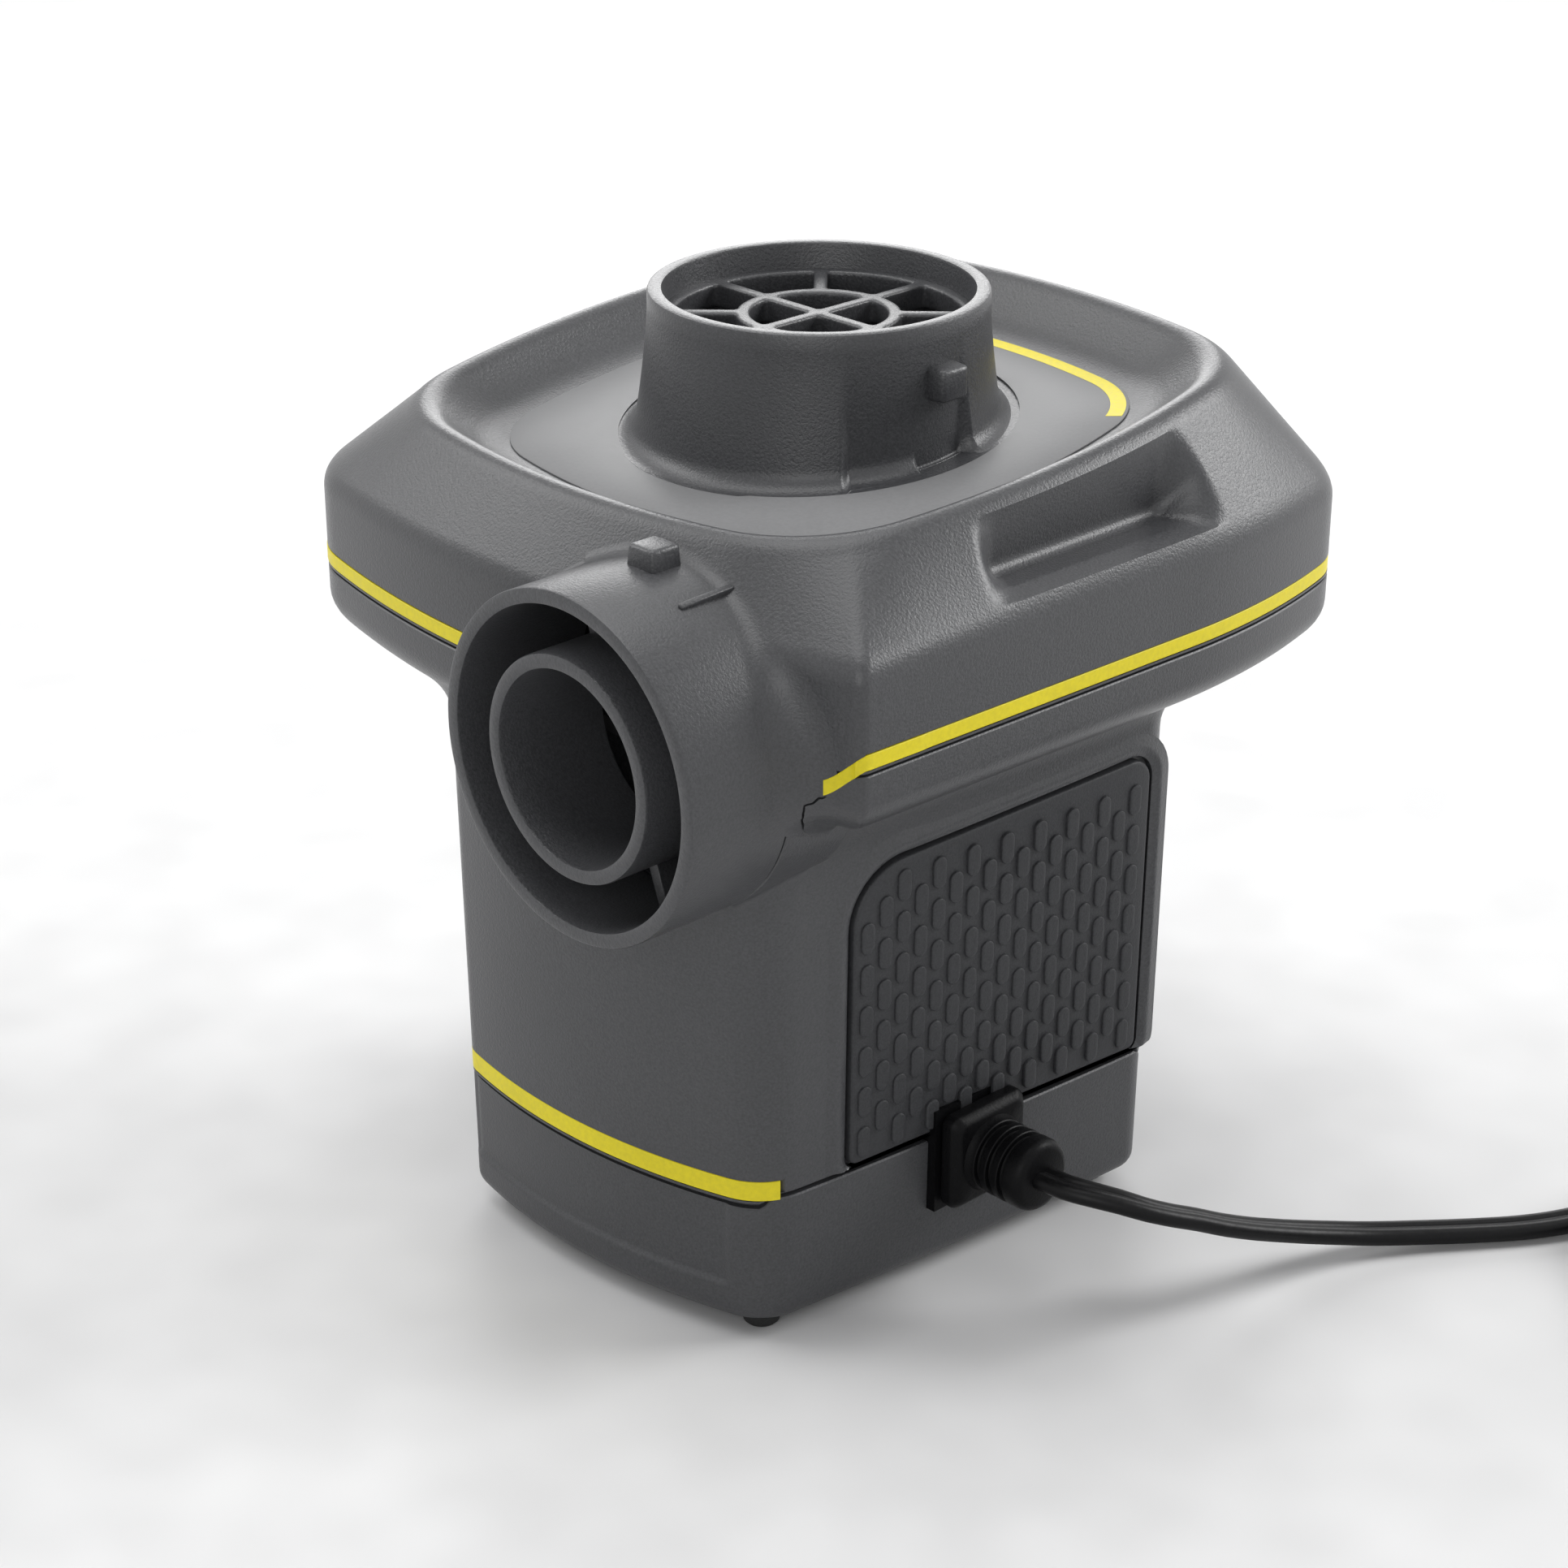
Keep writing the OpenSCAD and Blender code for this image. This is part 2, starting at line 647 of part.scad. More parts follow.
post_wall = 2;
post_out_r = screw_r + fit_gap + post_wall;
vent_w = 2.4;
vent_l = 24;
vent_pitch = 6;
vent_count = 5;
module base_cover() {
    color(dark_grey) at_axis() difference() {
        union() {
            base_shell();
            for (p = screw_spots) translate([p[0], p[1], foot_h + wall / 2])
                cylinder(h = base_seam_z - foot_h - wall / 2, r = post_out_r, $fn = round_n);
        }
        inlet_block(seat_gap, inlet_depth * 2);
        for (p = screw_spots) translate([p[0], p[1], foot_h - cut_over]) {
            cylinder(h = screw_sink + cut_over, r = screw_head_r + fit_gap, $fn = round_n);
            cylinder(h = base_seam_z, r = screw_r + fit_gap, $fn = round_n);
        }
        for (i = [0:vent_count - 1])
            translate([0, (i - (vent_count - 1) / 2) * vent_pitch, foot_h + wall / 2])
                cube([vent_l, vent_w, wall + 2 * cut_over], center = true);
    }
}

// Yellow stripes let into the housings
stripe_clear = 2;
module head_stripe() {
    z0 = stripe_z0 + seat_gap;
    z1 = z0 + head_stripe_h;
    outer = head_plan(head_half, 0);
    inner = head_plan(head_half, stripe_t - seat_gap);
    tube_left = outlet_x - outlet_r - stripe_clear;
    tube_right = outlet_x + outlet_r + stripe_clear;
    free = [for (q = outer) q[1] > -head_half * 0.8 || q[0] < tube_left || q[0] > tube_right ? 1 : 0];
    color(yellow) at_axis()
        band(lift(outer, z0), lift(outer, z1), lift(inner, z1), lift(inner, z0), flagged_run(free));
}

module base_stripe() {
    z0 = base_stripe_z0 + edge_z + seat_gap;
    z1 = base_stripe_z1 - edge_z - seat_gap;
    picks = flagged_run(stripe_share);
    inner_picks = [for (k = [1:len(picks) - 2]) picks[k]];
    low = column_plan(z0, 0);
    high = column_plan(z1, 0);
    low_in = column_plan(z0, stripe_t - seat_gap);
    high_in = column_plan(z1, stripe_t - seat_gap);
    color(yellow) at_axis()
        band(lift(low, z0), lift(high, z1), lift(high_in, z1), lift(low_in, z0), inner_picks);
}

module grip_right() {
    color(dark_grey) at_axis() difference() {
        on_right_face() translate([0, 0, -grip_recess])
            linear_extrude(grip_t) grip_outline(grip_front, grip_l, 0);
        inlet_block(fit_gap, inlet_depth);
        translate([inlet_depth / 2, 0, 0]) inlet_block(fit_gap, inlet_depth);
    }
}

module grip_left() {
    color(dark_grey) at_axis() on_left_face() translate([0, 0, -grip_recess])
        linear_extrude(grip_t) grip_outline(grip_left_front, min(grip_left_l, grip_l), 0);
}

foot_spots = [
    [39.2, 13.2 - column_front],
    [-15.5, 10.5 - column_front],
    [45, column_back - 14],
    [-22.5, column_back - 13]];
foot_taper = 0.5;
foot_round = 0.4;
module feet() {
    tip_r = foot_r - foot_taper;
    color(black) at_axis() for (p = foot_spots) translate([p[0], p[1], 0])
        rotate_extrude($fn = round_n) polygon([
            [0, 0],
            [tip_r - foot_round, 0],
            [tip_r, foot_round],
            [foot_r, foot_h],
            [0, foot_h]]);
}

screw_l = base_seam_z - foot_h + 6;
cross_l = 4.4;
cross_w = 0.8;
cross_d = 0.7;
module case_screws() {
    color(steel) at_axis() for (p = screw_spots) translate([p[0], p[1], foot_h]) {
        difference() {
            cylinder(h = screw_sink, r = screw_head_r, $fn = round_n);
            translate([-cross_l / 2, -cross_w / 2, -cut_over]) cube([cross_l, cross_w, cut_over + cross_d]);
            translate([-cross_w / 2, -cross_l / 2, -cut_over]) cube([cross_w, cross_l, cut_over + cross_d]);
        }
        translate([0, 0, (cross_d + screw_sink) / 2]) cylinder(h = screw_l, r = screw_r, $fn = round_n);
    }
}

// Motor deck: partition that lies on the bowl's floor, cut away round the inflate port
deck_z = bowl_floor_z + seat_gap;
deck_t = 2.5;
deck_bore = 7;
deck_in = bowl_in - 0.8;
module motor_deck() {
    rim = head_plan(head_half, deck_in);
    bore = round_plan(rim, deck_bore);
    color(black) at_axis() difference() {
        skin([
            lift(rim, deck_z),
            lift(rim, deck_z + deck_t),
            lift(bore, deck_z + deck_t),
            lift(bore, deck_z)], looped = true);
        facing_front([outlet_x, -outlet_end_y + free_gap, outlet_z])
            cylinder(h = outlet_l, r = outlet_r + free_gap, $fn = round_n);
        for (s = [-1, 1]) translate([s * motor_screw_x, 0, deck_z - cut_over])
            cylinder(h = deck_t + 2 * cut_over, r = motor_screw_r + seat_gap, $fn = round_n);
    }
}

// Scroll: a spiral wall that opens towards the inflate port
scroll_z0 = deck_z + deck_t;
scroll_plate = 2;
scroll_h = scroll_top_z - scroll_plate - scroll_z0;
scroll_wall_t = 2;
tongue_r = impeller_r + 4;
scroll_r = impeller_r + 12.5;
tongue_a = -84;
scroll_steps = 48;
scroll_mouth_y = -outlet_end_y + free_gap;
mouth_lip = 1;
mouth_x0 = outlet_x - outlet_r + port_wall;
mouth_x1 = outlet_x + outlet_r - port_wall;
function spiral(extra, first) =
    [for (k = [first:scroll_steps])
        let (t = k / scroll_steps, a = lerp(tongue_a, -360, t), r = lerp(tongue_r, scroll_r, t) + extra)
        r * [cos(a), sin(a)]];
// The outside leaves the tongue's first step out, because there the wall turns towards the mouth.
scroll_outline = concat([[mouth_x0 - mouth_lip, scroll_mouth_y]], spiral(scroll_wall_t, 1),
                        [[mouth_x1 + mouth_lip, scroll_mouth_y]]);
module scroll_plan() {
    inner = concat([[mouth_x0, scroll_mouth_y]], spiral(0, 0), [[mouth_x1, scroll_mouth_y]]);
    polygon(concat(inner, [for (i = [len(scroll_outline) - 1:-1:0]) scroll_outline[i]]));
}
module scroll_wall() {
    color(black) at_axis() translate([0, 0, scroll_z0]) linear_extrude(scroll_h) scroll_plan();
}

eye_r = port_inner_r - 1.5;
module scroll_cover() {
    color(black) at_axis() translate([0, 0, scroll_top_z - scroll_plate]) linear_extrude(scroll_plate)
        difference() {
            polygon(scroll_outline);
            circle(r = eye_r, $fn = round_n);
        }
}

// Motor: drawn can with two magnets, nylon end cap with brushes, plain bushings
can_t = 1.2;
can_z0 = deck_z - motor_l;
bush_r = 4;
bush_l = 5;
boss_r = 6.5;
boss_h = 2.5;
motor_screw_x = 10;
motor_screw_r = 1.5;
module motor_can() {
    color(steel) at_axis() difference() {
        union() {
            translate([0, 0, can_z0]) cylinder(h = motor_l, r = motor_r, $fn = round_n);
            translate([0, 0, deck_z]) cylinder(h = boss_h, r = boss_r, $fn = round_n);
        }
        translate([0, 0, can_z0 - cut_over])
            cylinder(h = motor_l - can_t + cut_over, r = motor_r - can_t, $fn = round_n);
        translate([0, 0, deck_z - can_t - cut_over])
            cylinder(h = can_t + boss_h + 2 * cut_over, r = bush_r + run_gap, $fn = round_n);
        for (s = [-1, 1]) translate([s * motor_screw_x, 0, deck_z - can_t - cut_over])
            cylinder(h = can_t + 2 * cut_over, r = motor_screw_r + seat_gap, $fn = round_n);
    }
}

magnet_t = 3;
magnet_arc = 130;
magnet_l = 26;
magnet_z = can_z0 + 8;
module motor_magnets() {
    outer = motor_r - can_t - run_gap;
    color(dark_grey) at_axis() for (s = [0, 180])
        rotate(s - magnet_arc / 2) translate([0, 0, magnet_z])
            rotate_extrude(angle = magnet_arc, $fn = round_n)
                translate([outer - magnet_t, 0]) square([magnet_t, magnet_l]);
}

cap_h = 5;
cap_plug_h = 4;
cap_lip = 2.5;
module motor_cap() {
    color(white_nylon) at_axis() difference() {
        union() {
            translate([0, 0, can_z0 - cap_h]) cylinder(h = cap_h, r = motor_r, $fn = round_n);
            translate([0, 0, can_z0])
                cylinder(h = cap_plug_h, r = motor_r - can_t - run_gap, $fn = round_n);
        }
        translate([0, 0, can_z0])
            cylinder(h = cap_plug_h + cut_over, r = motor_r - can_t - cap_lip, $fn = round_n);
        translate([0, 0, can_z0 - cap_h - cut_over])
            cylinder(h = cap_h + 2 * cut_over, r = bush_r + run_gap, $fn = round_n);
    }
}

brush_w = 3;
brush_h = 2.6;
commutator_r = 4.5;
module brushes() {
    reach = motor_r - can_t - 2.7;
    x0 = commutator_r + 0.3;
    color(copper) at_axis() for (s = [0, 180])
        rotate(s) translate([x0, -brush_w / 2, can_z0 + 0.6]) cube([reach - x0, brush_w, brush_h]);
}

module bushing(z) {
    color([0.62, 0.5, 0.3]) at_axis() translate([0, 0, z]) difference() {
        cylinder(h = bush_l, r = bush_r, $fn = round_n);
        translate([0, 0, -cut_over])
            cylinder(h = bush_l + 2 * cut_over, r = shaft_r + run_gap, $fn = round_n);
    }
}
upper_bush_z = deck_z + boss_h - bush_l;
lower_bush_z = can_z0 - cap_h;
module upper_bushing() {
    bushing(upper_bush_z);
}
module lower_bushing() {
    bushing(lower_bush_z);
}

motor_screw_l = deck_t + can_t + 1.5;
motor_screw_head = 1.5;
module motor_screws() {
    top = deck_z + deck_t;
    color(steel) at_axis() for (s = [-1, 1]) translate([s * motor_screw_x, 0, 0]) {
        translate([0, 0, top - motor_screw_l])
            cylinder(h = motor_screw_l, r = motor_screw_r, $fn = round_n);
        translate([0, 0, top]) cylinder(h = motor_screw_head, r = 2.6, $fn = round_n);
    }
}

// Rotor: shaft, armature, commutator and impeller turn together
hub_z = scroll_z0 + boss_h + 0.6;
hub_h = 12;
nut_h = 3;
shaft_z0 = lower_bush_z - 1;
shaft_z1 = hub_z + hub_h + nut_h + 1;
module motor_shaft() {
    color(steel) at_axis() translate([0, 0, shaft_z0])
        cylinder(h = shaft_z1 - shaft_z0, r = shaft_r, $fn = round_n);
}

core_r = motor_r - can_t - magnet_t - 0.8;
core_l = 20;
core_z = magnet_z + 3;
pole_count = 5;
slot_w = 2.2;
slot_in = 4.6;
module core_plan() {
    difference() {
        circle(r = core_r, $fn = round_n);
        circle(r = shaft_r, $fn = round_n);
        for (i = [0:pole_count - 1]) rotate(360 * (i + 0.5) / pole_count) {
            translate([slot_in + 1, -slot_w / 2]) square([core_r, slot_w]);
            translate([slot_in + 2.6, 0]) circle(r = 2.2, $fn = round_n);
        }
    }
}
module armature_core() {
    color(steel) at_axis() translate([0, 0, core_z]) linear_extrude(core_l) core_plan();
}

// The windings' overhangs bulge at both ends of the core.
winding_h = 4;
module armature_windings() {
    color(copper) at_axis() for (z = [core_z - winding_h, core_z + core_l])
        translate([0, 0, z]) rotate_extrude($fn = round_n) polygon([
            [shaft_r, 0],
            [core_r - 3, 0],
            [core_r - 1.6, winding_h * 0.3],
            [core_r - 1.6, winding_h * 0.7],
            [core_r - 3, winding_h],
            [shaft_r, winding_h]]);
}

commutator_z = can_z0 + 0.4;
commutator_l = core_z - winding_h - commutator_z;
module commutator() {
    color(copper) at_axis() translate([0, 0, commutator_z]) difference() {
        cylinder(h = commutator_l, r = commutator_r, $fn = round_n);
        translate([0, 0, -cut_over]) cylinder(h = commutator_l + 2 * cut_over, r = shaft_r, $fn = round_n);
        for (i = [0:pole_count - 1]) rotate(360 * i / pole_count)
            translate([commutator_r - 0.8, -0.25, -cut_over]) cube([1.2, 0.5, commutator_l - 2 + cut_over]);
    }
}

// Impeller: back plate with backward-curved blades that grow lower towards the rim
plate_t = 1.8;
hub_r = 6;
blade_in = 17;
blade_bend = 30;
blade_rim_drop = 4;
blade_tip = 0.5;
blade_steps = 8;
// Middle line of a blade: its bearing falls back as the radius grows.
function blade_line(side) =
    [for (k = [0:blade_steps])
        let (t = k / blade_steps, r = lerp(blade_in, impeller_r - blade_tip, t), a = blade_bend * t * t)
        r * [cos(a), sin(a)] + side * blade_t / 2 * [-sin(a + blade_bend * t), cos(a + blade_bend * t)]];
module blade_plan() {
    out = blade_line(1);
    polygon(concat(blade_line(-1), [for (k = [blade_steps:-1:0]) out[k]]));
}
module impeller() {
    plate_z = hub_z;
    color(dark_grey) at_axis() translate([0, 0, plate_z]) difference() {
        union() {
            rotate_extrude($fn = round_n) polygon([
                [0, 0],
                [impeller_r, 0],
                [impeller_r, plate_t],
                [hub_r + 6, plate_t],
                [hub_r + 1.5, plate_t + 3],
                [hub_r, hub_h],
                [0, hub_h]]);
            intersection() {
                translate([0, 0, plate_t / 2]) linear_extrude(blade_h + plate_t)
                    for (i = [0:blade_count - 1]) rotate(360 * i / blade_count) blade_plan();
                rotate_extrude($fn = round_n) polygon([
                    [0, 0],
                    [impeller_r + 1, 0],
                    [impeller_r + 1, plate_t + blade_h - blade_rim_drop],
                    [blade_in - 2, plate_t + blade_h],
                    [0, plate_t + blade_h]]);
            }
        }
        translate([0, 0, -cut_over]) cylinder(h = hub_h + 2 * cut_over, r = shaft_r, $fn = round_n);
    }
}

nut_r = 4.2;
module impeller_nut() {
    color(steel) at_axis() translate([0, 0, hub_z + hub_h]) difference() {
        cylinder(h = nut_h, r = nut_r, $fn = 6);
        translate([0, 0, -cut_over]) cylinder(h = nut_h + 2 * cut_over, r = shaft_r, $fn = round_n);
    }
}

// Power inlet: a socket in the wall between main body and base cover, with two contact pins
socket_w = 12;
socket_h = 7;
socket_deep = 10;
pin_pitch = 6;
module inlet_pocket(gap, l) {
    translate([inlet_face_x - l, -inlet_y - socket_w / 2 - gap, inlet_z - socket_h / 2 - gap])
        cube([l + cut_over, socket_w + 2 * gap, socket_h + 2 * gap]);
}
module power_inlet() {
    color(black) at_axis() difference() {
        inlet_block(0, inlet_depth);
        inlet_pocket(0, socket_deep);
        for (s = [-1, 1])
            facing_right([inlet_face_x - inlet_depth - cut_over, -inlet_y + s * pin_pitch / 2, inlet_z])
                cylinder(h = inlet_depth, r = pin_r, $fn = round_n);
    }
}

pin_back = 4;
module inlet_pins() {
    color(steel) at_axis() for (s = [-1, 1])
        facing_right([inlet_face_x - inlet_depth - pin_back, -inlet_y + s * pin_pitch / 2, inlet_z])
            cylinder(h = inlet_depth + pin_back - 2, r = pin_r, $fn = round_n);
}

// Circuit board on four posts, with the rectifier, a capacitor and a choke
board_l = 44;
board_w = 50;
board_t = 1.6;
board_z = 12;
board_x = 8;
board_front = 24;
board_y = board_front + board_w / 2 - column_front;
post_r = 3;
post_in = 5;
post_spots = [for (sx = [-1, 1], sy = [-1, 1])
    [board_x + sx * (board_l / 2 - post_in), board_y + sy * (board_w / 2 - post_in)]];
module circuit_board() {
    color(board_green) at_axis() difference() {
        translate([board_x - board_l / 2, board_y - board_w / 2, board_z])
            cube([board_l, board_w, board_t]);
        for (p = post_spots) translate([p[0], p[1], board_z - cut_over])
            cylinder(h = board_t + 2 * cut_over, r = screw_r + fit_gap, $fn = round_n);
    }
}

module board_posts() {
    floor_top = foot_h + wall;
    color(dark_grey) at_axis() for (p = post_spots) translate([p[0], p[1], floor_top]) {
        cylinder(h = board_z - floor_top, r = post_r, $fn = round_n);
        cylinder(h = board_z - floor_top + board_t + 1, r = screw_r, $fn = round_n);
    }
}

rectifier_size = [14, 5, 12];
rectifier_spot = [-12, 8];
rectifier_lift = 2;
leg_count = 4;
leg_start = 2;
leg_pitch = 3.3;
leg_r = 0.5;
module rectifier() {
    color(black) at_axis()
        translate([board_x + rectifier_spot[0], board_y + rectifier_spot[1], board_z + board_t]) {
            translate([0, 0, rectifier_lift]) cube(rectifier_size);
            for (i = [0:leg_count - 1])
                translate([leg_start + i * leg_pitch, rectifier_size[1] / 2, 0])
                    cylinder(h = rectifier_lift + 1, r = leg_r, $fn = 16);
        }
}

cap_r = 6;
cap_len = 18;
module capacitor() {
    color(sleeve_blue) at_axis() translate([board_x + 10, board_y + 10, board_z + board_t])
        rotate_extrude($fn = round_n) polygon([
            [0, 0],
            [cap_r - 0.5, 0],
            [cap_r - 0.5, 0.8],
            [cap_r, 1.4],
            [cap_r, cap_len - 0.6],
            [cap_r - 0.6, cap_len],
            [0, cap_len]]);
}

choke_r = 6;
choke_wire = 2.6;
module choke() {
    color(copper) at_axis() translate([board_x + 10, board_y - 10, board_z + board_t + choke_wire])
        rotate_extrude($fn = round_n) translate([choke_r, 0]) circle(r = choke_wire, $fn = round_n);
}

// Leads from the inlet to the board, from the board to the switch and to the motor's brushes
lead_r = 0.9;
lead_sides = 6;
board_top = board_z + board_t;
function ring_at(p, d, r, n) =
    let (w = abs(d[2]) > 0.9 * norm(d) ? [1, 0, 0] : [0, 0, 1], u = cross(d, w) / norm(cross(d, w)),
         v = cross(u, d) / norm(d))
    [for (i = [0:n - 1]) let (a = -360 * i / n) p + r * (cos(a) * u + sin(a) * v)];
function heading(pts, i) = pts[min(i + 1, len(pts) - 1)] - pts[max(i - 1, 0)];
module sweep(pts, r, n) {
    skin([for (i = [0:len(pts) - 1]) ring_at(pts[i], heading(pts, i), r, n)]);
}
inlet_back_x = inlet_face_x - inlet_depth - pin_back;
lead_steps = 8;
function bezier(a, b, c, d, t) =
    lerp(lerp(lerp(a, b, t), lerp(b, c, t), t), lerp(lerp(b, c, t), lerp(c, d, t), t), t);
// A lead leaves a along da and comes in to b along -db, square to both faces.
function lead_path(a, da, b, db) =
    let (a1 = a + da / 4, b1 = b + db / 4)
    concat([a], [for (k = [0:lead_steps]) bezier(a1, a + da, b + db, b1, k / lead_steps)], [b]);
module lead(a, da, b, db) {
    sweep(lead_path(a, da, b, db), lead_r, lead_sides);
}
// Solder spots on the board, from its middle: mains, switch and motor
mains_spot = [16, 0];
switch_spot = [-4, 22];
motor_spot = [-18, -4];
// Half distances between the two leads of a pair
mains_half = 2;
switch_half = 5;
motor_half = 4;
tag_half = 12;
tag_y = -3;
// How far a lead runs straight out of the inlet, the board, the switch and the motor
inlet_run = 6;
mains_run = 8;
board_run = 12;
switch_run = 16;
function on_board(spot) = [board_x + spot[0], board_y + spot[1], board_top];
module lead_wires() {
    terminal_mid = switch_face_y - switch_depth - terminal_l / 2;
    cap_low = can_z0 - cap_h;
    color(lead_colour) at_axis() for (s = [-1, 1]) {
        lead([inlet_back_x, -inlet_y + s * pin_pitch / 2, inlet_z], [-inlet_run, 0, 0],
             on_board(mains_spot) + [0, s * mains_half, 0], [0, 0, mains_run]);
        lead(on_board(switch_spot) + [s * switch_half, 0, 0], [0, 0, board_run],
             [switch_x + s * terminal_x, terminal_mid, switch_z - terminal_w / 2], [0, 0, -switch_run]);
        lead(on_board(motor_spot) + [0, s * motor_half, 0], [0, 0, board_run],
             [-s * tag_half, tag_y, cap_low], [0, 0, -board_run]);
    }
}

// Rocker switch on the back
terminal_x = 5;
terminal_l = 5;
terminal_w = 4.8;
terminal_t = 0.8;
rocker_w = switch_body_w - 4;
rocker_h = switch_body_h - 2;
rocker_r = 7;
rocker_tilt = 8;
rocker_y = switch_face_y - 1;
rocker_proud = 4.2;
rocker_dip_r = 26;
module switch_housing() {
    color(black) at_axis() difference() {
        union() {
            switch_block(0, switch_body_w, switch_body_h, switch_face_y - switch_depth, switch_depth + 0.2);
            switch_block(0, switch_w, switch_h, switch_face_y + 0.2, bezel_t);
        }
        translate([switch_x - rocker_w / 2 - free_gap, rocker_y, switch_z]) rotate([0, 90, 0])
            cylinder(h = rocker_w + 2 * free_gap, r = rocker_r + free_gap, $fn = round_n);
        switch_block(free_gap, rocker_w, rocker_h, rocker_y, switch_depth);
    }
}

module switch_terminals() {
    color(steel) at_axis() for (s = [-1, 1])
        translate([switch_x + s * terminal_x, switch_face_y - switch_depth - terminal_l / 2, switch_z])
            cube([terminal_t, terminal_l, terminal_w], center = true);
}

module switch_rocker() {
    color(black) at_axis() translate([switch_x, rocker_y, switch_z]) rotate([rocker_tilt, 0, 0])
        rotate([90, 0, 90]) translate([0, 0, -rocker_w / 2]) linear_extrude(rocker_w)
            difference() {
                intersection() {
                    circle(r = rocker_r, $fn = round_n);
                    translate([-rocker_r, -rocker_h / 2 + 0.6]) square([2 * rocker_r, rocker_h - 1.2]);
                }
                translate([rocker_proud + rocker_dip_r, 0]) circle(r = rocker_dip_r, $fn = round_n);
            }
}

// Plug on the pump's end of the cord
plug_face_x = inlet_face_x + free_gap;
nose_gap = 0.35;
nose_l = socket_deep - 1;
groove_count = 3;
groove_w = 1.1;
groove_d = 0.9;
groove_pitch = 2.4;
groove_start = 1.6;
relief_end_x = plug_face_x + flange_t + relief_l;
flange_bevel = 1.2;
module cord_plug() {
    nose_w = socket_w - 2 * nose_gap;
    nose_h = socket_h - 2 * nose_gap;
    color(black) at_axis() difference() {
        union() {
            translate([plug_face_x, -inlet_y - flange_w / 2, inlet_z - flange_w / 2])
                cube([flange_t - flange_bevel, flange_w, flange_w]);
            translate([plug_face_x + flange_t / 2, -inlet_y, inlet_z])
                cube([flange_t, flange_w - 2 * flange_bevel, flange_w - 2 * flange_bevel], center = true);
            translate([plug_face_x - nose_l, -inlet_y - nose_w / 2, inlet_z - nose_h / 2])
                cube([nose_l, nose_w, nose_h]);
            facing_right([plug_face_x + flange_t, -inlet_y, inlet_z]) relief_form();
        }
        for (s = [-1, 1])
            facing_right([plug_face_x - nose_l - cut_over, -inlet_y + s * pin_pitch / 2, inlet_z])
                cylinder(h = nose_l + cut_over, r = pin_r + nose_gap, $fn = round_n);
    }
}

module relief_form() {
    grooves = [for (i = [0:groove_count - 1])
        let (z = groove_start + i * groove_pitch)
        each [[relief_r, z], [relief_r - groove_d, z],
              [relief_r - groove_d, z + groove_w], [relief_r, z + groove_w]]];
    rotate_extrude($fn = round_n) polygon(concat(
        [[0, 0], [relief_r, 0]],
        grooves,
        [[relief_r, relief_l - 2], [relief_r - 1.2, relief_l], [0, relief_l]]));
}

// Flat twin cord. Its points are chosen by hand: out of the plug, down to the ground and away.
cord_points = [
    [relief_end_x, -inlet_y, inlet_z],
    [69.4, -12.9, 21.9],
    [73, -11, 21.4],
    [76.5, -8, 20.3],
    [79, -5, 18.8],
    [80.9, -1.2, 17],
    [82.6, 3.7, 14.8],
    [84.1, 8.2, 12.6],
    [85.5, 13.4, 10.3],
    [86.8, 18.7, 8.2],
    [88.3, 24, 6.3],
    [90.5, 30, 4.3],
    [93.4, 36, 3],
    [98.2, 43.6, 2],
    [103.4, 50.6, 1.6],
    [107.8, 56.4, 1.5],
    [112.2, 62.6, 1.5],
    [116.6, 73.5, 1.5]];
coil_x = 152;
coil_y = 86;
coil_in_r = 20;
coil_out_r = 38;
coil_h = 10;
cord_sides = 8;
function flat_ring(p, d) =
    let (side = [-d[1], d[0], 0] / norm([d[0], d[1]]))
    [for (i = [0:cord_sides - 1]) let (a = 360 * (i + 0.5) / cord_sides)
        p + cord_w / 2 * cos(a) * side + cord_t / 2 * sin(a) * [0, 0, 1]];
module cord_lead() {
    color(black) at_axis() skin([for (i = [len(cord_points) - 1:-1:0])
        flat_ring(cord_points[i], heading(cord_points, i))]);
}

module cord_coil() {
    color(black) at_axis() translate([coil_x, coil_y, 0]) rotate_extrude($fn = round_n)
        polygon([
            [coil_in_r + 3, 0],
            [coil_out_r - 3, 0],
            [coil_out_r, 3],
            [coil_out_r, coil_h - 3],
            [coil_out_r - 3, coil_h],
            [coil_in_r + 3, coil_h],
            [coil_in_r, coil_h - 3],
            [coil_in_r, 3]]);
}

// Flat two-pin plug on the far end of the cord, lying on the coil
mains_w = 28;
mains_t = 14;
mains_l = 30;
mains_x = coil_x + 10;
mains_y = coil_y - mains_l + 5;
mains_front = 8;
mains_neck = 4;
mains_neck_w = 9;
mains_pitch = 18.6;
mains_pin_r = 2;
mains_pin_l = 19;
mains_pin_in = 6;
module mains_plug() {
    half = mains_w / 2;
    color(black) at_axis() translate([mains_x, mains_y, coil_h]) difference() {
        linear_extrude(mains_t) polygon([
            [-half, mains_l],
            [-half, mains_l - mains_front],
            [-mains_neck_w / 2, mains_neck],
            [-mains_neck_w / 2, 0],
            [mains_neck_w / 2, 0],
            [mains_neck_w / 2, mains_neck],
            [half, mains_l - mains_front],
            [half, mains_l]]);
        for (s = [-1, 1]) translate([s * mains_pitch / 2, mains_l - mains_pin_in, mains_t / 2])
            rotate([-90, 0, 0]) cylinder(h = mains_pin_in + cut_over, r = mains_pin_r, $fn = round_n);
    }
}

module mains_pins() {
    color(steel) at_axis() for (s = [-1, 1])
        translate([mains_x + s * mains_pitch / 2, mains_y + mains_l - mains_pin_in, coil_h + mains_t / 2])
            rotate([-90, 0, 0]) cylinder(h = mains_pin_in + mains_pin_l, r = mains_pin_r, $fn = round_n);
}

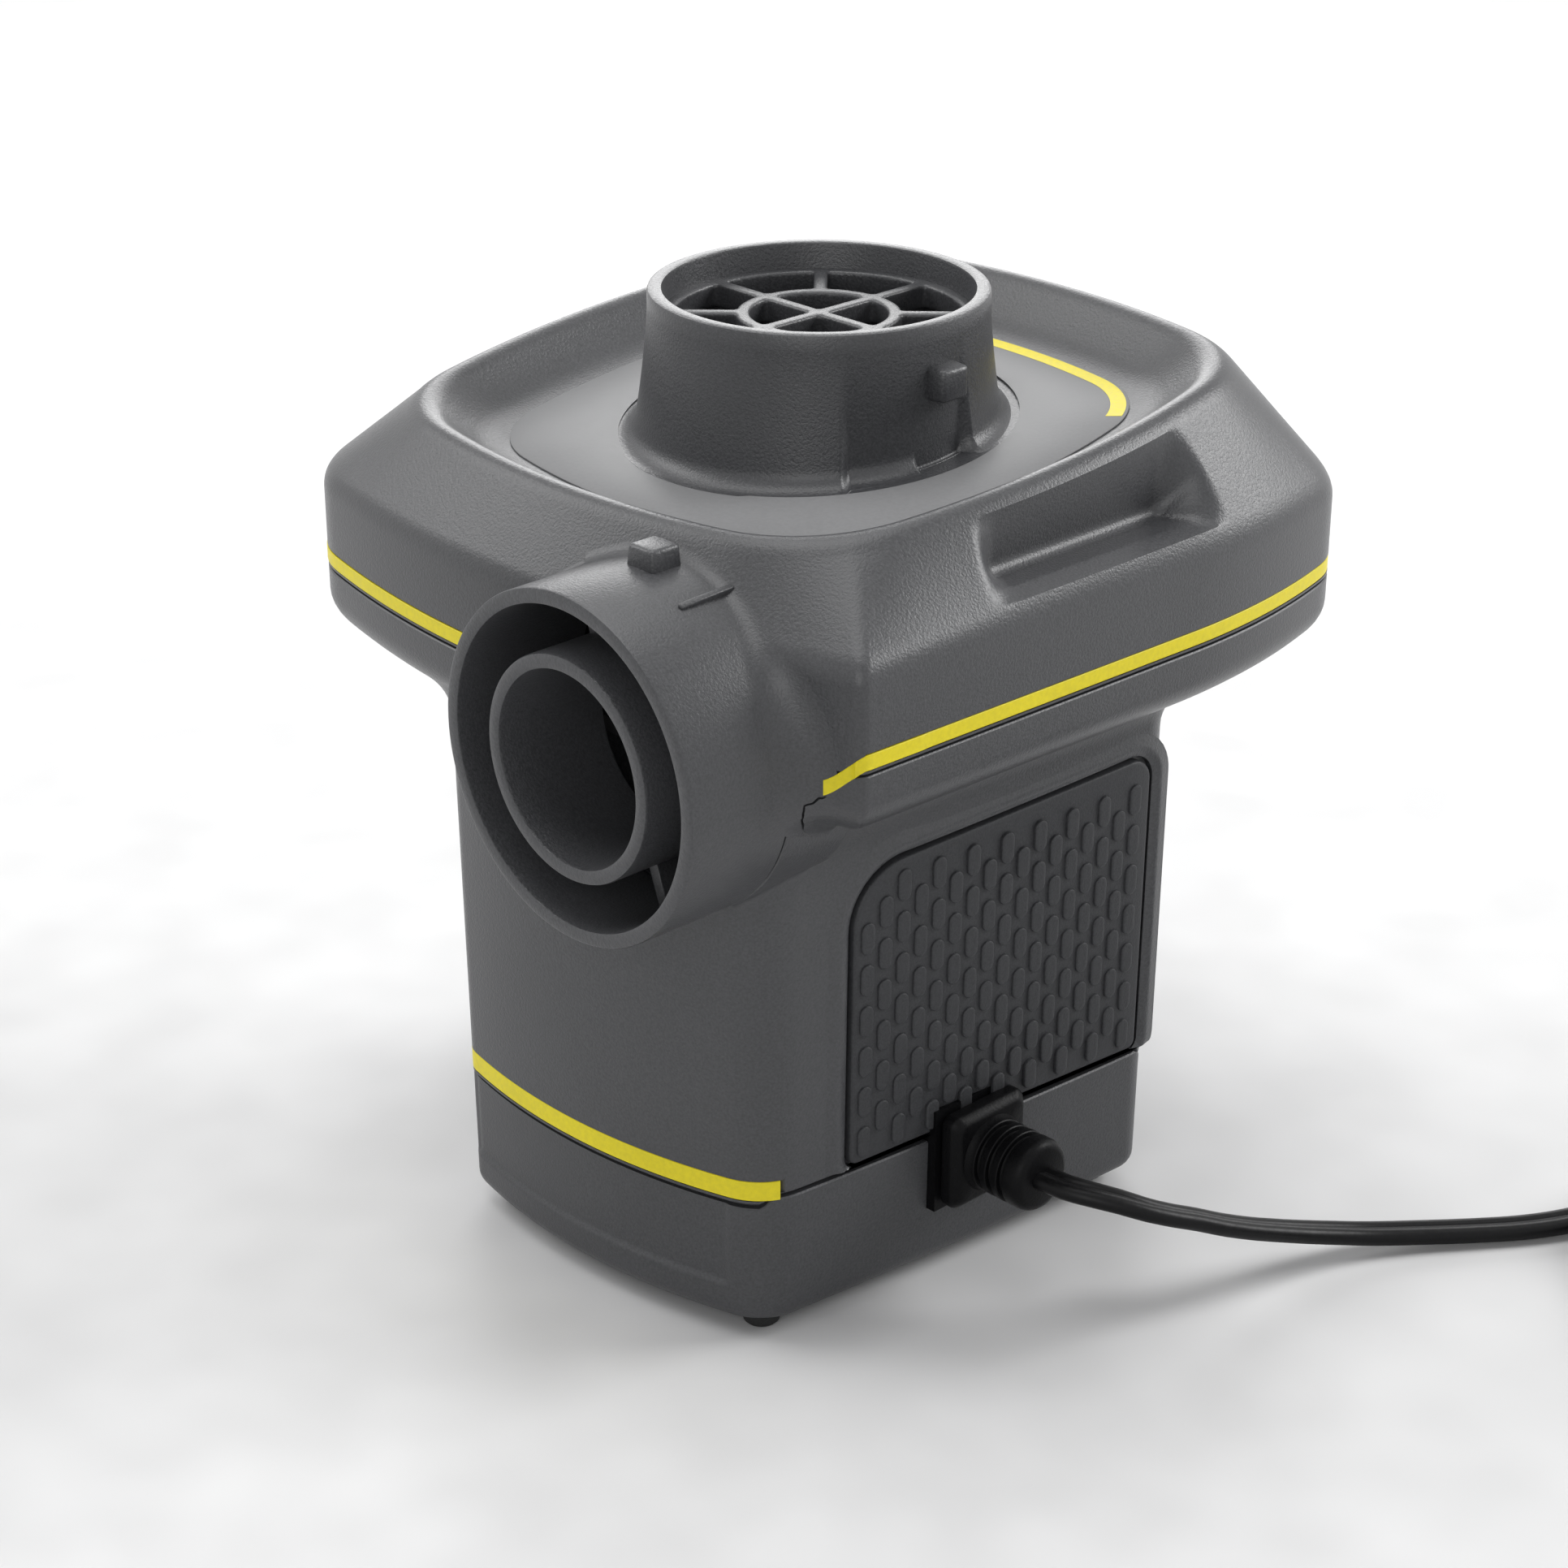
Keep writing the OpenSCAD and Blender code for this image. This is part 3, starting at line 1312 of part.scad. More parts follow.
top_cover();
intake_port();
intake_grille();
nozzle_seat();
dish_overlay();
main_body();
base_cover();
head_stripe();
base_stripe();
grip_right();
grip_left();
feet();
case_screws();
motor_deck();
scroll_wall();
scroll_cover();
motor_can();
motor_magnets();
motor_cap();
brushes();
upper_bushing();
lower_bushing();
motor_screws();
motor_shaft();
armature_core();
armature_windings();
commutator();
impeller();
impeller_nut();
power_inlet();
inlet_pins();
circuit_board();
board_posts();
rectifier();
capacitor();
choke();
lead_wires();
switch_housing();
switch_terminals();
switch_rocker();
cord_plug();
cord_lead();
cord_coil();
mains_plug();
mains_pins();
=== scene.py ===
import json
import math

import bmesh
import bpy
import numpy as np
from mathutils import Matrix, Vector
from mathutils.bvhtree import BVHTree


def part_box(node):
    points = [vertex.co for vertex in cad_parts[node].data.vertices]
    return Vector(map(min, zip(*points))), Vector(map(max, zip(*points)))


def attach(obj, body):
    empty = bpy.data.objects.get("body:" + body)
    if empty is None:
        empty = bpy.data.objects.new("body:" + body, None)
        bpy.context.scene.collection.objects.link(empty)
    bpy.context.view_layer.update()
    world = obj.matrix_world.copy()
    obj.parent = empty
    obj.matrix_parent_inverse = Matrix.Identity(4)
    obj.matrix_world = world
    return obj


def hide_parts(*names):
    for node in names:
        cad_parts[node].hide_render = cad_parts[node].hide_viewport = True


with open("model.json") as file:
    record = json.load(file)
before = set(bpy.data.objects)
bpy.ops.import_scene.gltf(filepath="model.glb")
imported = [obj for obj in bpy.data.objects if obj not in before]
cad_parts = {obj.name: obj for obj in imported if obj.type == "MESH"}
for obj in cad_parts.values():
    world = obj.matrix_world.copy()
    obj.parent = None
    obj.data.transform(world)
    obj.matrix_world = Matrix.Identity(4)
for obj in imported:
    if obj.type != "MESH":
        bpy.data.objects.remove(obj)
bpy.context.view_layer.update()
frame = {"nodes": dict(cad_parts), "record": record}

scene = bpy.context.scene
mm = 0.001
axisY = 5.5
sharpAngle, roundAngle = 32, 40
arcSteps = 9
slotOf = {part["node"]: part["material_slot"] for part in frame["record"]["subparts"]}


# Shapes are worked out in millimetres from the deflate port's axis and the ground.
def inFrame(points):
    return (np.asarray(points, float) + (0.0, axisY, 0.0)) * mm


def fromFrame(points):
    return np.array(points) / mm - (0.0, axisY, 0.0)


def smooth(t):
    t = np.clip(t, 0.0, 1.0)
    return t * t * (3 - 2 * t)


def lerp(a, b, t):
    return a + (b - a) * t


def unit(v):
    return v / np.linalg.norm(v, axis=-1, keepdims=True)


def toward(angle):
    return np.array([math.cos(angle), math.sin(angle)])


def bezier(a, b, c, steps, last=True):
    return [(1 - t) ** 2 * a + 2 * t * (1 - t) * b + t * t * c
            for t in np.arange(steps + 1 if last else steps) / steps]


def joinShapes(*shapes):
    points, faces, start = [], [], 0
    for p, f in shapes:
        points.append(np.asarray(p, float))
        faces += [tuple(i + start for i in face) for face in f]
        start += len(p)
    return np.concatenate(points), faces


# A closed skin over rings that all have the same number of points.
def ringStack(rings, looped=False, caps=True):
    rings = np.asarray(rings, float)
    rows, count = rings.shape[:2]
    index = np.arange(rows * count).reshape(rows, count)
    ahead = np.roll(index, -1, axis=1)
    faces = []
    for r in range(rows if looped else rows - 1):
        n = (r + 1) % rows
        faces += np.column_stack([index[r], ahead[r], ahead[n], index[n]]).tolist()
    if caps and not looped:
        faces += [index[0][::-1].tolist(), index[-1].tolist()]
    return rings.reshape(-1, 3), faces


def lathe(profile, turns=128, looped=True):
    angles = np.arange(turns) * 2 * np.pi / turns
    return ringStack([np.stack([r * np.cos(angles), r * np.sin(angles), np.full(turns, z)], 1)
                      for r, z in profile], looped)


# A closed band between rings that keeps only some of their points, in the order given.
def bandOf(rings, picks):
    return ringStack(np.swapaxes(np.array(rings)[:, picks], 0, 1))


# Turns a shape that stands along +Z so that it points to the front or the right from a spot.
def pointed(shape, way, spot):
    x, y, z = shape[0].T
    turned = {"front": (x, -z, y), "right": (z, y, -x)}[way]
    return np.stack(turned, 1) + spot, shape[1]


def bevelBox(size, bevel, taper=1.0):
    bm = bmesh.new()
    bmesh.ops.create_cube(bm, size=1.0)
    for v in bm.verts:
        k = taper if v.co.z > 0 else 1.0
        v.co = Vector((v.co.x * size[0] * k, v.co.y * size[1] * k, v.co.z * size[2]))
    bmesh.ops.bevel(bm, geom=list(bm.edges), offset=bevel, segments=3, profile=0.5,
                    affect="EDGES")
    bm.verts.index_update()
    points = np.array([v.co[:] for v in bm.verts])
    faces = [tuple(v.index for v in f.verts) for f in bm.faces]
    bm.free()
    return points, faces


# Points round a rectangle with round corners, anticlockwise from the right.
def roundRect(halfX, halfY, r, perCorner=9):
    points = []
    for x, y, first in ((1, 1, 0), (-1, 1, 90), (-1, -1, 180), (1, -1, 270)):
        for a in np.radians(first + np.linspace(0, 90, perCorner)):
            points.append((x * (halfX - r) + r * math.cos(a), y * (halfY - r) + r * math.sin(a)))
    return points


# The end of a tube's wall from outside to inside. Each edge's round has a size and a depth.
def roundedRim(r, inside, top, outerEdge, innerEdge):
    (a, b), (c, d) = outerEdge, innerEdge
    return [(r, top - a), (r - b, top - b), (r - a, top),
            (inside + c, top), (inside + d, top - d), (inside, top - c)]


def newMesh(name, points, faces):
    mesh = bpy.data.meshes.new(name)
    mesh.from_pydata([tuple(p) for p in points], [], faces)
    return mesh


def newObject(name, data):
    obj = bpy.data.objects.new(name, data)
    scene.collection.objects.link(obj)
    return obj


def aim(obj, spot, way):
    obj.location, obj.rotation_mode = spot, "QUATERNION"
    obj.rotation_quaternion = way.to_track_quat("-Z", "Y")


def tidyMesh(mesh, sharp):
    bm = bmesh.new()
    bm.from_mesh(mesh)
    bmesh.ops.remove_doubles(bm, verts=list(bm.verts), dist=3e-7)
    bmesh.ops.recalc_face_normals(bm, faces=list(bm.faces))
    for face in bm.faces:
        face.smooth = True
    for edge in bm.edges:
        isFlat = len(edge.link_faces) == 2 and edge.calc_face_angle(0.0) < math.radians(sharp)
        edge.smooth = isFlat
    bm.to_mesh(mesh)
    bm.free()


def addObject(name, shape, material=None):
    mesh = newMesh(name, inFrame(shape[0]), shape[1])
    tidyMesh(mesh, sharpAngle)
    if material:
        mesh.materials.append(material)
    return newObject(name, mesh)


# The modifiers' result becomes a plain mesh on the object.
def settle(obj, sharp=sharpAngle, material=None):
    bpy.context.view_layer.update()
    graph = bpy.context.evaluated_depsgraph_get()
    mesh = bpy.data.meshes.new_from_object(obj.evaluated_get(graph), depsgraph=graph)
    mesh.name = obj.name
    obj.modifiers.clear()
    if obj.type == "MESH":
        obj.data = mesh
    else:
        name = obj.name
        bpy.data.objects.remove(obj)
        obj = newObject(name, mesh)
    tidyMesh(mesh, sharp)
    if material:
        mesh.materials.clear()
        mesh.materials.append(material)
    return obj


def cutShape(shape, cutters):
    blank = addObject("blank", shape)
    tools = [addObject("cutter", cutter) for cutter in cutters]
    for tool in tools:
        step = blank.modifiers.new("cut", "BOOLEAN")
        step.operation, step.solver, step.object = "DIFFERENCE", "EXACT", tool
    mesh = settle(blank).data
    points = np.empty(len(mesh.vertices) * 3)
    mesh.vertices.foreach_get("co", points)
    result = fromFrame(points.reshape(-1, 3)), [tuple(p.vertices) for p in mesh.polygons]
    for obj in tools + [blank]:
        bpy.data.objects.remove(obj)
    return result


def blockShape(low, high):
    (x0, y0, z0), (x1, y1, z1) = low, high
    return ringStack([[(x0, y0, z), (x1, y0, z), (x1, y1, z), (x0, y1, z)] for z in (z0, z1)])


def nodeBlock(node, grow):
    low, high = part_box(node)
    return fromFrame(low) - grow, fromFrame(high) + grow


def place(obj, body, slotName, *nodes):
    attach(obj, body)
    if nodes:
        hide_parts(*nodes)
    return obj


# A still piece in its slot's finish.
def addPiece(name, shape, slotName, *nodes):
    return place(addObject(name, shape, finish[slotName]), "pump_body", slotName, *nodes)


def surfaceTree(*shapes):
    points, faces = joinShapes(*shapes)
    return BVHTree.FromPolygons([tuple(p) for p in points], faces)


# A ball rolls in the corner between a surface and lines along which it is led. Each line gives
# the start of the ball's middle, its way, where the leading face lies and the ball's radius.
# Lines along which the ball rolls past the surface are left out.
def rolledFillet(tree, lines, reach):
    sections, stride, sink = [], 0.5, 0.8
    for start, way, lead, r in lines:
        start, way = np.array(start, float), np.array(way, float)

        def touches(at):
            return tree.find_nearest(Vector(start + way * at))[3] < r
        far = next((at for at in np.arange(0.0, reach, stride) if touches(at)), None)
        if far is None:
            continue
        near = max(far - stride, 0.0)
        for _ in range(24):
            mid = (near + far) / 2
            near, far = (near, mid) if touches(mid) else (mid, far)
        middle = start + way * far
        touch = np.array(tree.find_nearest(Vector(middle))[0])
        a, b = touch - middle, np.array(lead) * r
        inward = unit(a)
        angle = math.acos(float(np.clip(inward @ b / r, -1, 1)))
        arc = [middle + (math.sin((1 - t) * angle) * a + math.sin(t * angle) * b) / math.sin(angle)
               for t in np.arange(arcSteps + 1) / arcSteps]
        inner = middle + unit(inward + b / r) * (r / math.cos(angle / 2) + sink)
        sections.append(arc + [inner, touch + inward * sink])
    return np.array(sections)


print("stage: camera")
camera = {"lens": 77.37, "sensor": 36.0, "clip": (0.01, 20.0),
          "place": (0.36667, -0.35124, 0.29882), "azimuth": 46.4, "elevation": 24.65}
cameraData = bpy.data.cameras.new("photoCamera")
cameraData.lens, cameraData.sensor_width = camera["lens"], camera["sensor"]
cameraData.clip_start, cameraData.clip_end = camera["clip"]
turn, rise = math.radians(camera["azimuth"]), math.radians(camera["elevation"])
scene.camera = newObject("photoCamera", cameraData)
aim(scene.camera, camera["place"], Vector((-math.sin(turn) * math.cos(rise),
                                           math.cos(turn) * math.cos(rise), -math.sin(rise))))


print("stage: materials")


# Sockets are given as label and kind. The group comes back with what goes in and out of it.
def newGroup(name, kind, ins, outs):
    group = bpy.data.node_groups.new(name, kind)
    for way, sockets in (("INPUT", ins), ("OUTPUT", outs)):
        for label, socketKind in sockets.items():
            group.interface.new_socket(label, in_out=way, socket_type="NodeSocket" + socketKind)
    goingIn, goingOut = group.nodes.new("NodeGroupInput"), group.nodes.new("NodeGroupOutput")
    return group, goingIn.outputs, goingOut.inputs


def addNode(tree, kind, links=None, **values):
    node = tree.nodes.new(kind)
    for key, value in values.items():
        setattr(node, key, value)
    for key, value in (links or {}).items():
        if isinstance(value, bpy.types.NodeSocket):
            tree.links.new(value, node.inputs[key])
        else:
            node.inputs[key].default_value = value
    return node


def outOf(tree, kind, links=None, **values):
    return addNode(tree, kind, links, **values).outputs[0]


def nodeMath(tree, operation, a, b=0.0):
    return outOf(tree, "ShaderNodeMath", {0: a, 1: b}, operation=operation)


# The middle of a noise, spread from low to high.
def mapped(tree, noise, low, high):
    return outOf(tree, "ShaderNodeMapRange", {
        "Value": noise, "From Min": 0.3, "From Max": 0.7, "To Min": low, "To Max": high})


def mixColour(tree, factor, a, b):
    return addNode(tree, "ShaderNodeMix", {0: factor, 6: a, 7: b}, data_type="RGBA").outputs[2]


def objectSpace(tree):
    return tree.nodes.new("ShaderNodeTexCoord").outputs["Object"]


noiseOuts = {"Color": "Color", "Mask": "Float", "Normal": "Vector"}
grainLook = {"mottleScale": 45.0, "mottle": (0.96, 1.04), "depth": 0.0002}
streakLook = {"relief": 0.08, "depth": 0.0001}


def shadeBy(group, noise, contrast):
    low, high = [nodeMath(group, way, 1.0, contrast) for way in ("SUBTRACT", "ADD")]
    return mapped(group, noise, low, high)


# The shade goes on the base colour, and the noise out as a mask and a normal.
def closeGroup(group, gin, gout, noise, shade, relief, depth):
    tint = outOf(group, "ShaderNodeVectorMath", {0: gin["Base"], "Scale": shade},
                 operation="SCALE")
    bump = outOf(group, "ShaderNodeBump", {"Strength": relief, "Distance": depth, "Height": noise})
    for label, socket in (("Color", tint), ("Mask", noise), ("Normal", bump)):
        group.links.new(socket, gout[label])
    return group


# Spark-eroded grain: fine speckle over a slow mottle, and the same grain as a normal.
def makeGrain():
    group, gin, gout = newGroup("sparkGrain", "ShaderNodeTree", {
        "Base": "Color", "Scale": "Float", "Speckle": "Float", "Relief": "Float"}, noiseOuts)
    where = objectSpace(group)
    fine = outOf(group, "ShaderNodeTexNoise", {
        "Vector": where, "Scale": gin["Scale"], "Detail": 2.0, "Roughness": 0.6})
    slow = outOf(group, "ShaderNodeTexNoise", {
        "Vector": where, "Scale": grainLook["mottleScale"], "Detail": 1.0})
    shade = nodeMath(group, "MULTIPLY", shadeBy(group, fine, gin["Speckle"]),
                     mapped(group, slow, *grainLook["mottle"]))
    return closeGroup(group, gin, gout, fine, shade, gin["Relief"], grainLook["depth"])


# Drawn or turned metal: long streaks along one axis.
def makeStreaks():
    group, gin, gout = newGroup("drawnStreaks", "ShaderNodeTree", {
        "Base": "Color", "Along": "Vector", "Contrast": "Float"}, noiseOuts)
    drawn = outOf(group, "ShaderNodeVectorMath", {0: objectSpace(group), 1: gin["Along"]},
                  operation="MULTIPLY")
    lines = outOf(group, "ShaderNodeTexNoise", {"Vector": drawn, "Scale": 1.0, "Detail": 3.0})
    shade = shadeBy(group, lines, gin["Contrast"])
    return closeGroup(group, gin, gout, lines, shade, streakLook["relief"], streakLook["depth"])


grainGroup, streakGroup = makeGrain(), makeStreaks()


def newMaterial(name):
    material = bpy.data.materials.new(name)
    material.use_nodes = True
    tree = material.node_tree
    return material, tree, tree.nodes["Principled BSDF"].inputs


def useGroup(tree, group, **values):
    return addNode(tree, "ShaderNodeGroup", values, node_tree=group).outputs


def noiseMaterial(name, group, settings, rough, spread, values):
    material, tree, shader = newMaterial(name)
    noise = useGroup(tree, group, **settings)
    tree.links.new(noise["Color"], shader["Base Color"])
    tree.links.new(noise["Normal"], shader["Normal"])
    tree.links.new(mapped(tree, noise["Mask"], rough - spread, rough + spread), shader["Roughness"])
    for key, value in values.items():
        shader[key].default_value = value
    return material


def grainy(name, base, rough, scale, speckle, relief, spec=0.5, metal=0.0, coat=0.0):
    settings = {"Base": (*base, 1), "Scale": scale, "Speckle": speckle, "Relief": relief}
    return noiseMaterial(name, grainGroup, settings, rough, 0.06, {
        "Specular IOR Level": spec, "Metallic": metal, "Coat Weight": coat})


def streaky(name, base, rough, along=(2500.0, 2500.0, 60.0), contrast=0.15):
    settings = {"Base": (*base, 1), "Along": along, "Contrast": contrast}
    return noiseMaterial(name, streakGroup, settings, rough, 0.08, {"Metallic": 1.0})


# Green board: copper tracks under the lacquer, with bright pads.
def boardMaterial(name):
    material, tree, shader = newMaterial(name)
    where = objectSpace(tree)
    tracks = outOf(tree, "ShaderNodeTexBrick", {
        "Vector": where, "Scale": 260.0, "Mortar Size": 0.03, "Color1": (0.012, 0.09, 0.035, 1),
        "Color2": (0.015, 0.11, 0.04, 1), "Mortar": (0.05, 0.2, 0.07, 1)})
    pads = outOf(tree, "ShaderNodeTexVoronoi", {"Vector": where, "Scale": 210.0})
    grain = useGroup(tree, grainGroup, Base=tracks, Scale=900.0, Speckle=0.1, Relief=0.1)
    colour = mixColour(tree, nodeMath(tree, "LESS_THAN", pads, 0.16), grain["Color"],
                       (0.55, 0.5, 0.42, 1))
    tree.links.new(colour, shader["Base Color"])
    tree.links.new(grain["Normal"], shader["Normal"])
    shader["Roughness"].default_value = 0.35
    return material


# Enamelled wire: fine turns, with painted shade as dark lines in the gaps between the bright turns.
def windingMaterial(name, base):
    material, tree, shader = newMaterial(name)
    turns = addNode(tree, "ShaderNodeTexWave", {
        "Vector": objectSpace(tree), "Scale": 420.0, "Distortion": 1.5, "Detail": 1.0},
        wave_type="BANDS", bands_direction="DIAGONAL").outputs["Fac"]
    grain = useGroup(tree, grainGroup, Base=(*base, 1), Scale=700.0, Speckle=0.12, Relief=0.1)
    # Painted shade: the copper darkened to a third in the lines between the turns.
    gapShade = tuple(c * 0.35 for c in base)
    tree.links.new(mixColour(tree, turns, (*gapShade, 1), grain["Color"]), shader["Base Color"])
    shader["Metallic"].default_value = 0.85
    shader["Roughness"].default_value = 0.32
    return material


# Grain: base colour, roughness, scale, speckle, relief. Streaks: base colour, roughness, scale
# along each axis, contrast.
housing = (0.058, 0.059, 0.063)
finish = {
    "housing_grey": grainy("housingGrey", housing, 0.35, 2300.0, 0.2, 0.4),
    "base_grey": grainy("baseGrey", housing, 0.4, 2300.0, 0.2, 0.35, spec=0.45),
    "overlay": grainy("overlayFilm", (0.25, 0.251, 0.255), 0.45, 1500.0, 0.05, 0.02, spec=0.22),
    "stripe_yellow": grainy("stripeYellow", (0.86, 0.73, 0.02), 0.42, 1200.0, 0.05, 0.08, spec=0.3),
    "grip_rubber": grainy("gripRubber", (0.038, 0.039, 0.042), 0.5, 2600.0, 0.2, 0.25, spec=0.3),
    "foot_rubber": grainy("footRubber", (0.02, 0.02, 0.02), 0.75, 2200.0, 0.2, 0.4, spec=0.3),
    "screw_steel": streaky("screwSteel", (0.42, 0.43, 0.45), 0.34),
    "inner_black": grainy("innerBlack", (0.012, 0.012, 0.013), 0.6, 1500.0, 0.2, 0.2),
    "motor_steel": streaky("motorSteel", (0.58, 0.59, 0.6), 0.3, (2200.0, 2200.0, 40.0)),
    "ferrite": grainy("ferrite", (0.03, 0.03, 0.032), 0.55, 1800.0, 0.25, 0.3),
    "nylon": grainy("nylonCap", (0.74, 0.72, 0.65), 0.42, 900.0, 0.05, 0.1),
    "brush_carbon": grainy("brushCarbon", (0.025, 0.025, 0.025), 0.45, 2600.0, 0.3, 0.3),
    "bronze": grainy("sinterBronze", (0.5, 0.33, 0.15), 0.4, 2800.0, 0.25, 0.3, metal=1.0),
    "shaft_steel": streaky("shaftSteel", (0.66, 0.66, 0.67), 0.2, (900.0, 900.0, 2500.0), 0.1),
    "core_steel": streaky("coreSteel", (0.28, 0.28, 0.29), 0.4, (60.0, 60.0, 3200.0), 0.35),
    "copper": windingMaterial("copperWire", (0.72, 0.3, 0.12)),
    "impeller_black": grainy("impellerBlack", (0.016, 0.016, 0.017), 0.45, 1300.0, 0.15, 0.15),
    "plug_black": grainy("plugBlack", (0.004, 0.004, 0.0045), 0.4, 2400.0, 0.2, 0.2, spec=0.09),
    "contact_metal": streaky("contactMetal", (0.7, 0.68, 0.62), 0.25, (1500.0, 60.0, 1500.0), 0.1),
    "board": boardMaterial("boardGreen"),
    "capacitor_sleeve": grainy("capSleeve", (0.018, 0.026, 0.075), 0.3, 700.0, 0.06, 0.05,
                               coat=0.3),
    "lead_red": grainy("leadRed", (0.42, 0.018, 0.012), 0.4, 1500.0, 0.08, 0.1),
    "rocker_black": grainy("rockerBlack", (0.018, 0.018, 0.019), 0.32, 1400.0, 0.1, 0.08),
    "cord_pvc": grainy("cordPvc", (0.005, 0.005, 0.0055), 0.36, 1600.0, 0.15, 0.12, spec=0.16),
}


def geometryModifier(obj, group, values):
    step = obj.modifiers.new(group.name, "NODES")
    step.node_group = group
    for item in group.interface.items_tree:
        if item.item_type == "SOCKET" and item.in_out == "INPUT" and item.name in values:
            step[item.identifier] = values[item.name]
    obj.update_tag()


def shapeGroup(name, ints, floats):
    ins = {"Geometry": "Geometry", **dict.fromkeys(ints, "Int"), **dict.fromkeys(floats, "Float"),
           "Material": "Material"}
    return newGroup(name, "GeometryNodeTree", ins, {"Geometry": "Geometry"})


def paintGroup(group, gin, gout, shape):
    painted = outOf(group, "GeometryNodeSetMaterial", {"Geometry": shape,
                                                       "Material": gin["Material"]})
    group.links.new(painted, gout[0])
    return group


print("stage: cord")
cord = {"width": 5.2, "thick": 2.8, "sides": 14, "step": 1.4, "coilAt": (152.0, 86.0),
        "wobble": 0.25, "turnRs": (35.0, 29.6, 24.2), "layerZs": (2.2, 5.0, 7.8), "perTurn": 40,
        "lastTurn": 20,
        "driftFrom": 30, "driftOver": 10, "climb": 2.8, "climbFrom": 11, "climbOver": 8,
        "tailR": 10.6, "tailAt": (172.6, 59.0, 11.8), "tailRise": 5.1}


# The cord's twin section swept along the object's own line, lying flat.
def makeCordGroup():
    group, gin, gout = shapeGroup("twinCord", ["Sides"], ["Core Radius", "Core Half Distance"])
    lying = outOf(group, "GeometryNodeSetCurveNormal", {"Curve": gin["Geometry"]}, mode="Z_UP")
    circle = outOf(group, "GeometryNodeCurvePrimitiveCircle", {
        "Resolution": gin["Sides"], "Radius": gin["Core Radius"]})
    profile = group.nodes.new("GeometryNodeJoinGeometry")
    for side in (1.0, -1.0):
        shift = outOf(group, "ShaderNodeCombineXYZ", {
            "X": nodeMath(group, "MULTIPLY", gin["Core Half Distance"], side)})
        core = outOf(group, "GeometryNodeTransform", {"Geometry": circle, "Translation": shift})
        group.links.new(core, profile.inputs[0])
    web = outOf(group, "GeometryNodeCurvePrimitiveQuadrilateral", {
        "Width": nodeMath(group, "MULTIPLY", gin["Core Half Distance"], 2.0),
        "Height": nodeMath(group, "MULTIPLY", gin["Core Radius"], 1.5)})
    group.links.new(web, profile.inputs[0])
    swept = outOf(group, "GeometryNodeCurveToMesh", {
        "Curve": lying, "Profile Curve": profile.outputs[0], "Fill Caps": True})
    real = outOf(group, "GeometryNodeRealizeInstances", {"Geometry": swept})
    return paintGroup(group, gin, gout, real)


def splinePoints(points, step):
    p = np.asarray(points, float)
    p = np.concatenate([[2 * p[0] - p[1]], p, [2 * p[-1] - p[-2]]])
    out = []
    for i in range(1, len(p) - 2):
        count = max(2, int(np.linalg.norm(p[i + 1] - p[i]) / step))
        for t in np.arange(count) / count:
            a, b, c, d = p[i - 1:i + 3]
            out.append(0.5 * (2 * b + (c - a) * t + (2 * a - 5 * b + 4 * c - d) * t * t
                              + (3 * b - a - 3 * c + d) * t ** 3))
    return out + [p[-2]]


# From the plug down to the ground, round the coil and up in a half turn to the mains plug.
def cordPath():
    lead = [(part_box("cord_plug")[1].x / mm - 1.0, -13.5, 22), (69.4, -12.9, 21.9), (73, -11, 21.4),
            (76.5, -8, 20.3), (79, -5, 18.8), (80.9, -1.2, 17), (82.6, 3.7, 14.8),
            (84.1, 8.2, 12.6), (85.5, 13.4, 10.3), (86.8, 18.7, 8.2), (88.3, 24, 6.3),
            (90.5, 30, 4.5), (93.4, 36, 3.1), (98.2, 43.6, 2.2), (103.4, 50.6, 1.9),
            (108.4, 57.6, 1.8), (112.6, 65.2, 1.9), (115.4, 74, 2.0)]
    coilX, coilY = cord["coilAt"]
    layerZs, turns = cord["layerZs"], []
    for layer, z in enumerate(layerZs):
        rs = cord["turnRs"][::-1] if layer % 2 else cord["turnRs"]
        for turn, r in enumerate(rs):
            endsLayer = turn + 1 == len(rs)
            last = endsLayer and layer + 1 == len(layerZs)
            nextR = r if endsLayer else rs[turn + 1]
            nextZ = layerZs[layer + 1] if endsLayer and not last else z
            for k in range(cord["lastTurn"] if last else cord["perTurn"]):
                a = math.radians(180 - 360 / cord["perTurn"] * k)
                blend, climb = smooth((k - cord["driftFrom"]) / cord["driftOver"]), 0.0
                if last:
                    blend = 0.0
                    climb = cord["climb"] * smooth((k - cord["climbFrom"]) / cord["climbOver"])
                sway = cord["wobble"] * math.sin(2.3 * a + 1.7 * turn + 2.9 * layer)
                away = lerp(r, nextR, blend) + sway
                turns.append((coilX + away * math.cos(a), coilY + away * math.sin(a),
                              lerp(z, nextZ, blend) + climb))
    x, y, z = cord["tailAt"]
    tail = [(178.0, 82, 10.6), (180.5, 74, 10.8), (182.6, 66, 11.2)]
    tail += [(x + cord["tailR"] * math.cos(a), y - cord["tailR"] * math.sin(a),
              z + cord["tailRise"] * smooth(a / math.pi)) for a in np.linspace(0, math.pi, 10)]
    return splinePoints(lead + turns + tail + [(162.0, 63.5, 17), (162.0, 66, 17)], cord["step"])


cordLine = cordPath()
cordCurve = bpy.data.curves.new("cordLine", "CURVE")
cordCurve.dimensions = "3D"
spline = cordCurve.splines.new("POLY")
spline.points.add(len(cordLine) - 1)
cordSpots = np.column_stack([inFrame(cordLine), np.ones(len(cordLine))])
spline.points.foreach_set("co", cordSpots.ravel())
cordObject = newObject("powerCord", cordCurve)
geometryModifier(cordObject, makeCordGroup(), {
    "Core Radius": cord["thick"] / 2 * mm, "Sides": cord["sides"], "Material": finish["cord_pvc"],
    "Core Half Distance": (cord["width"] - cord["thick"]) / 2 * mm})
cordObject = settle(cordObject, roundAngle, finish["cord_pvc"])

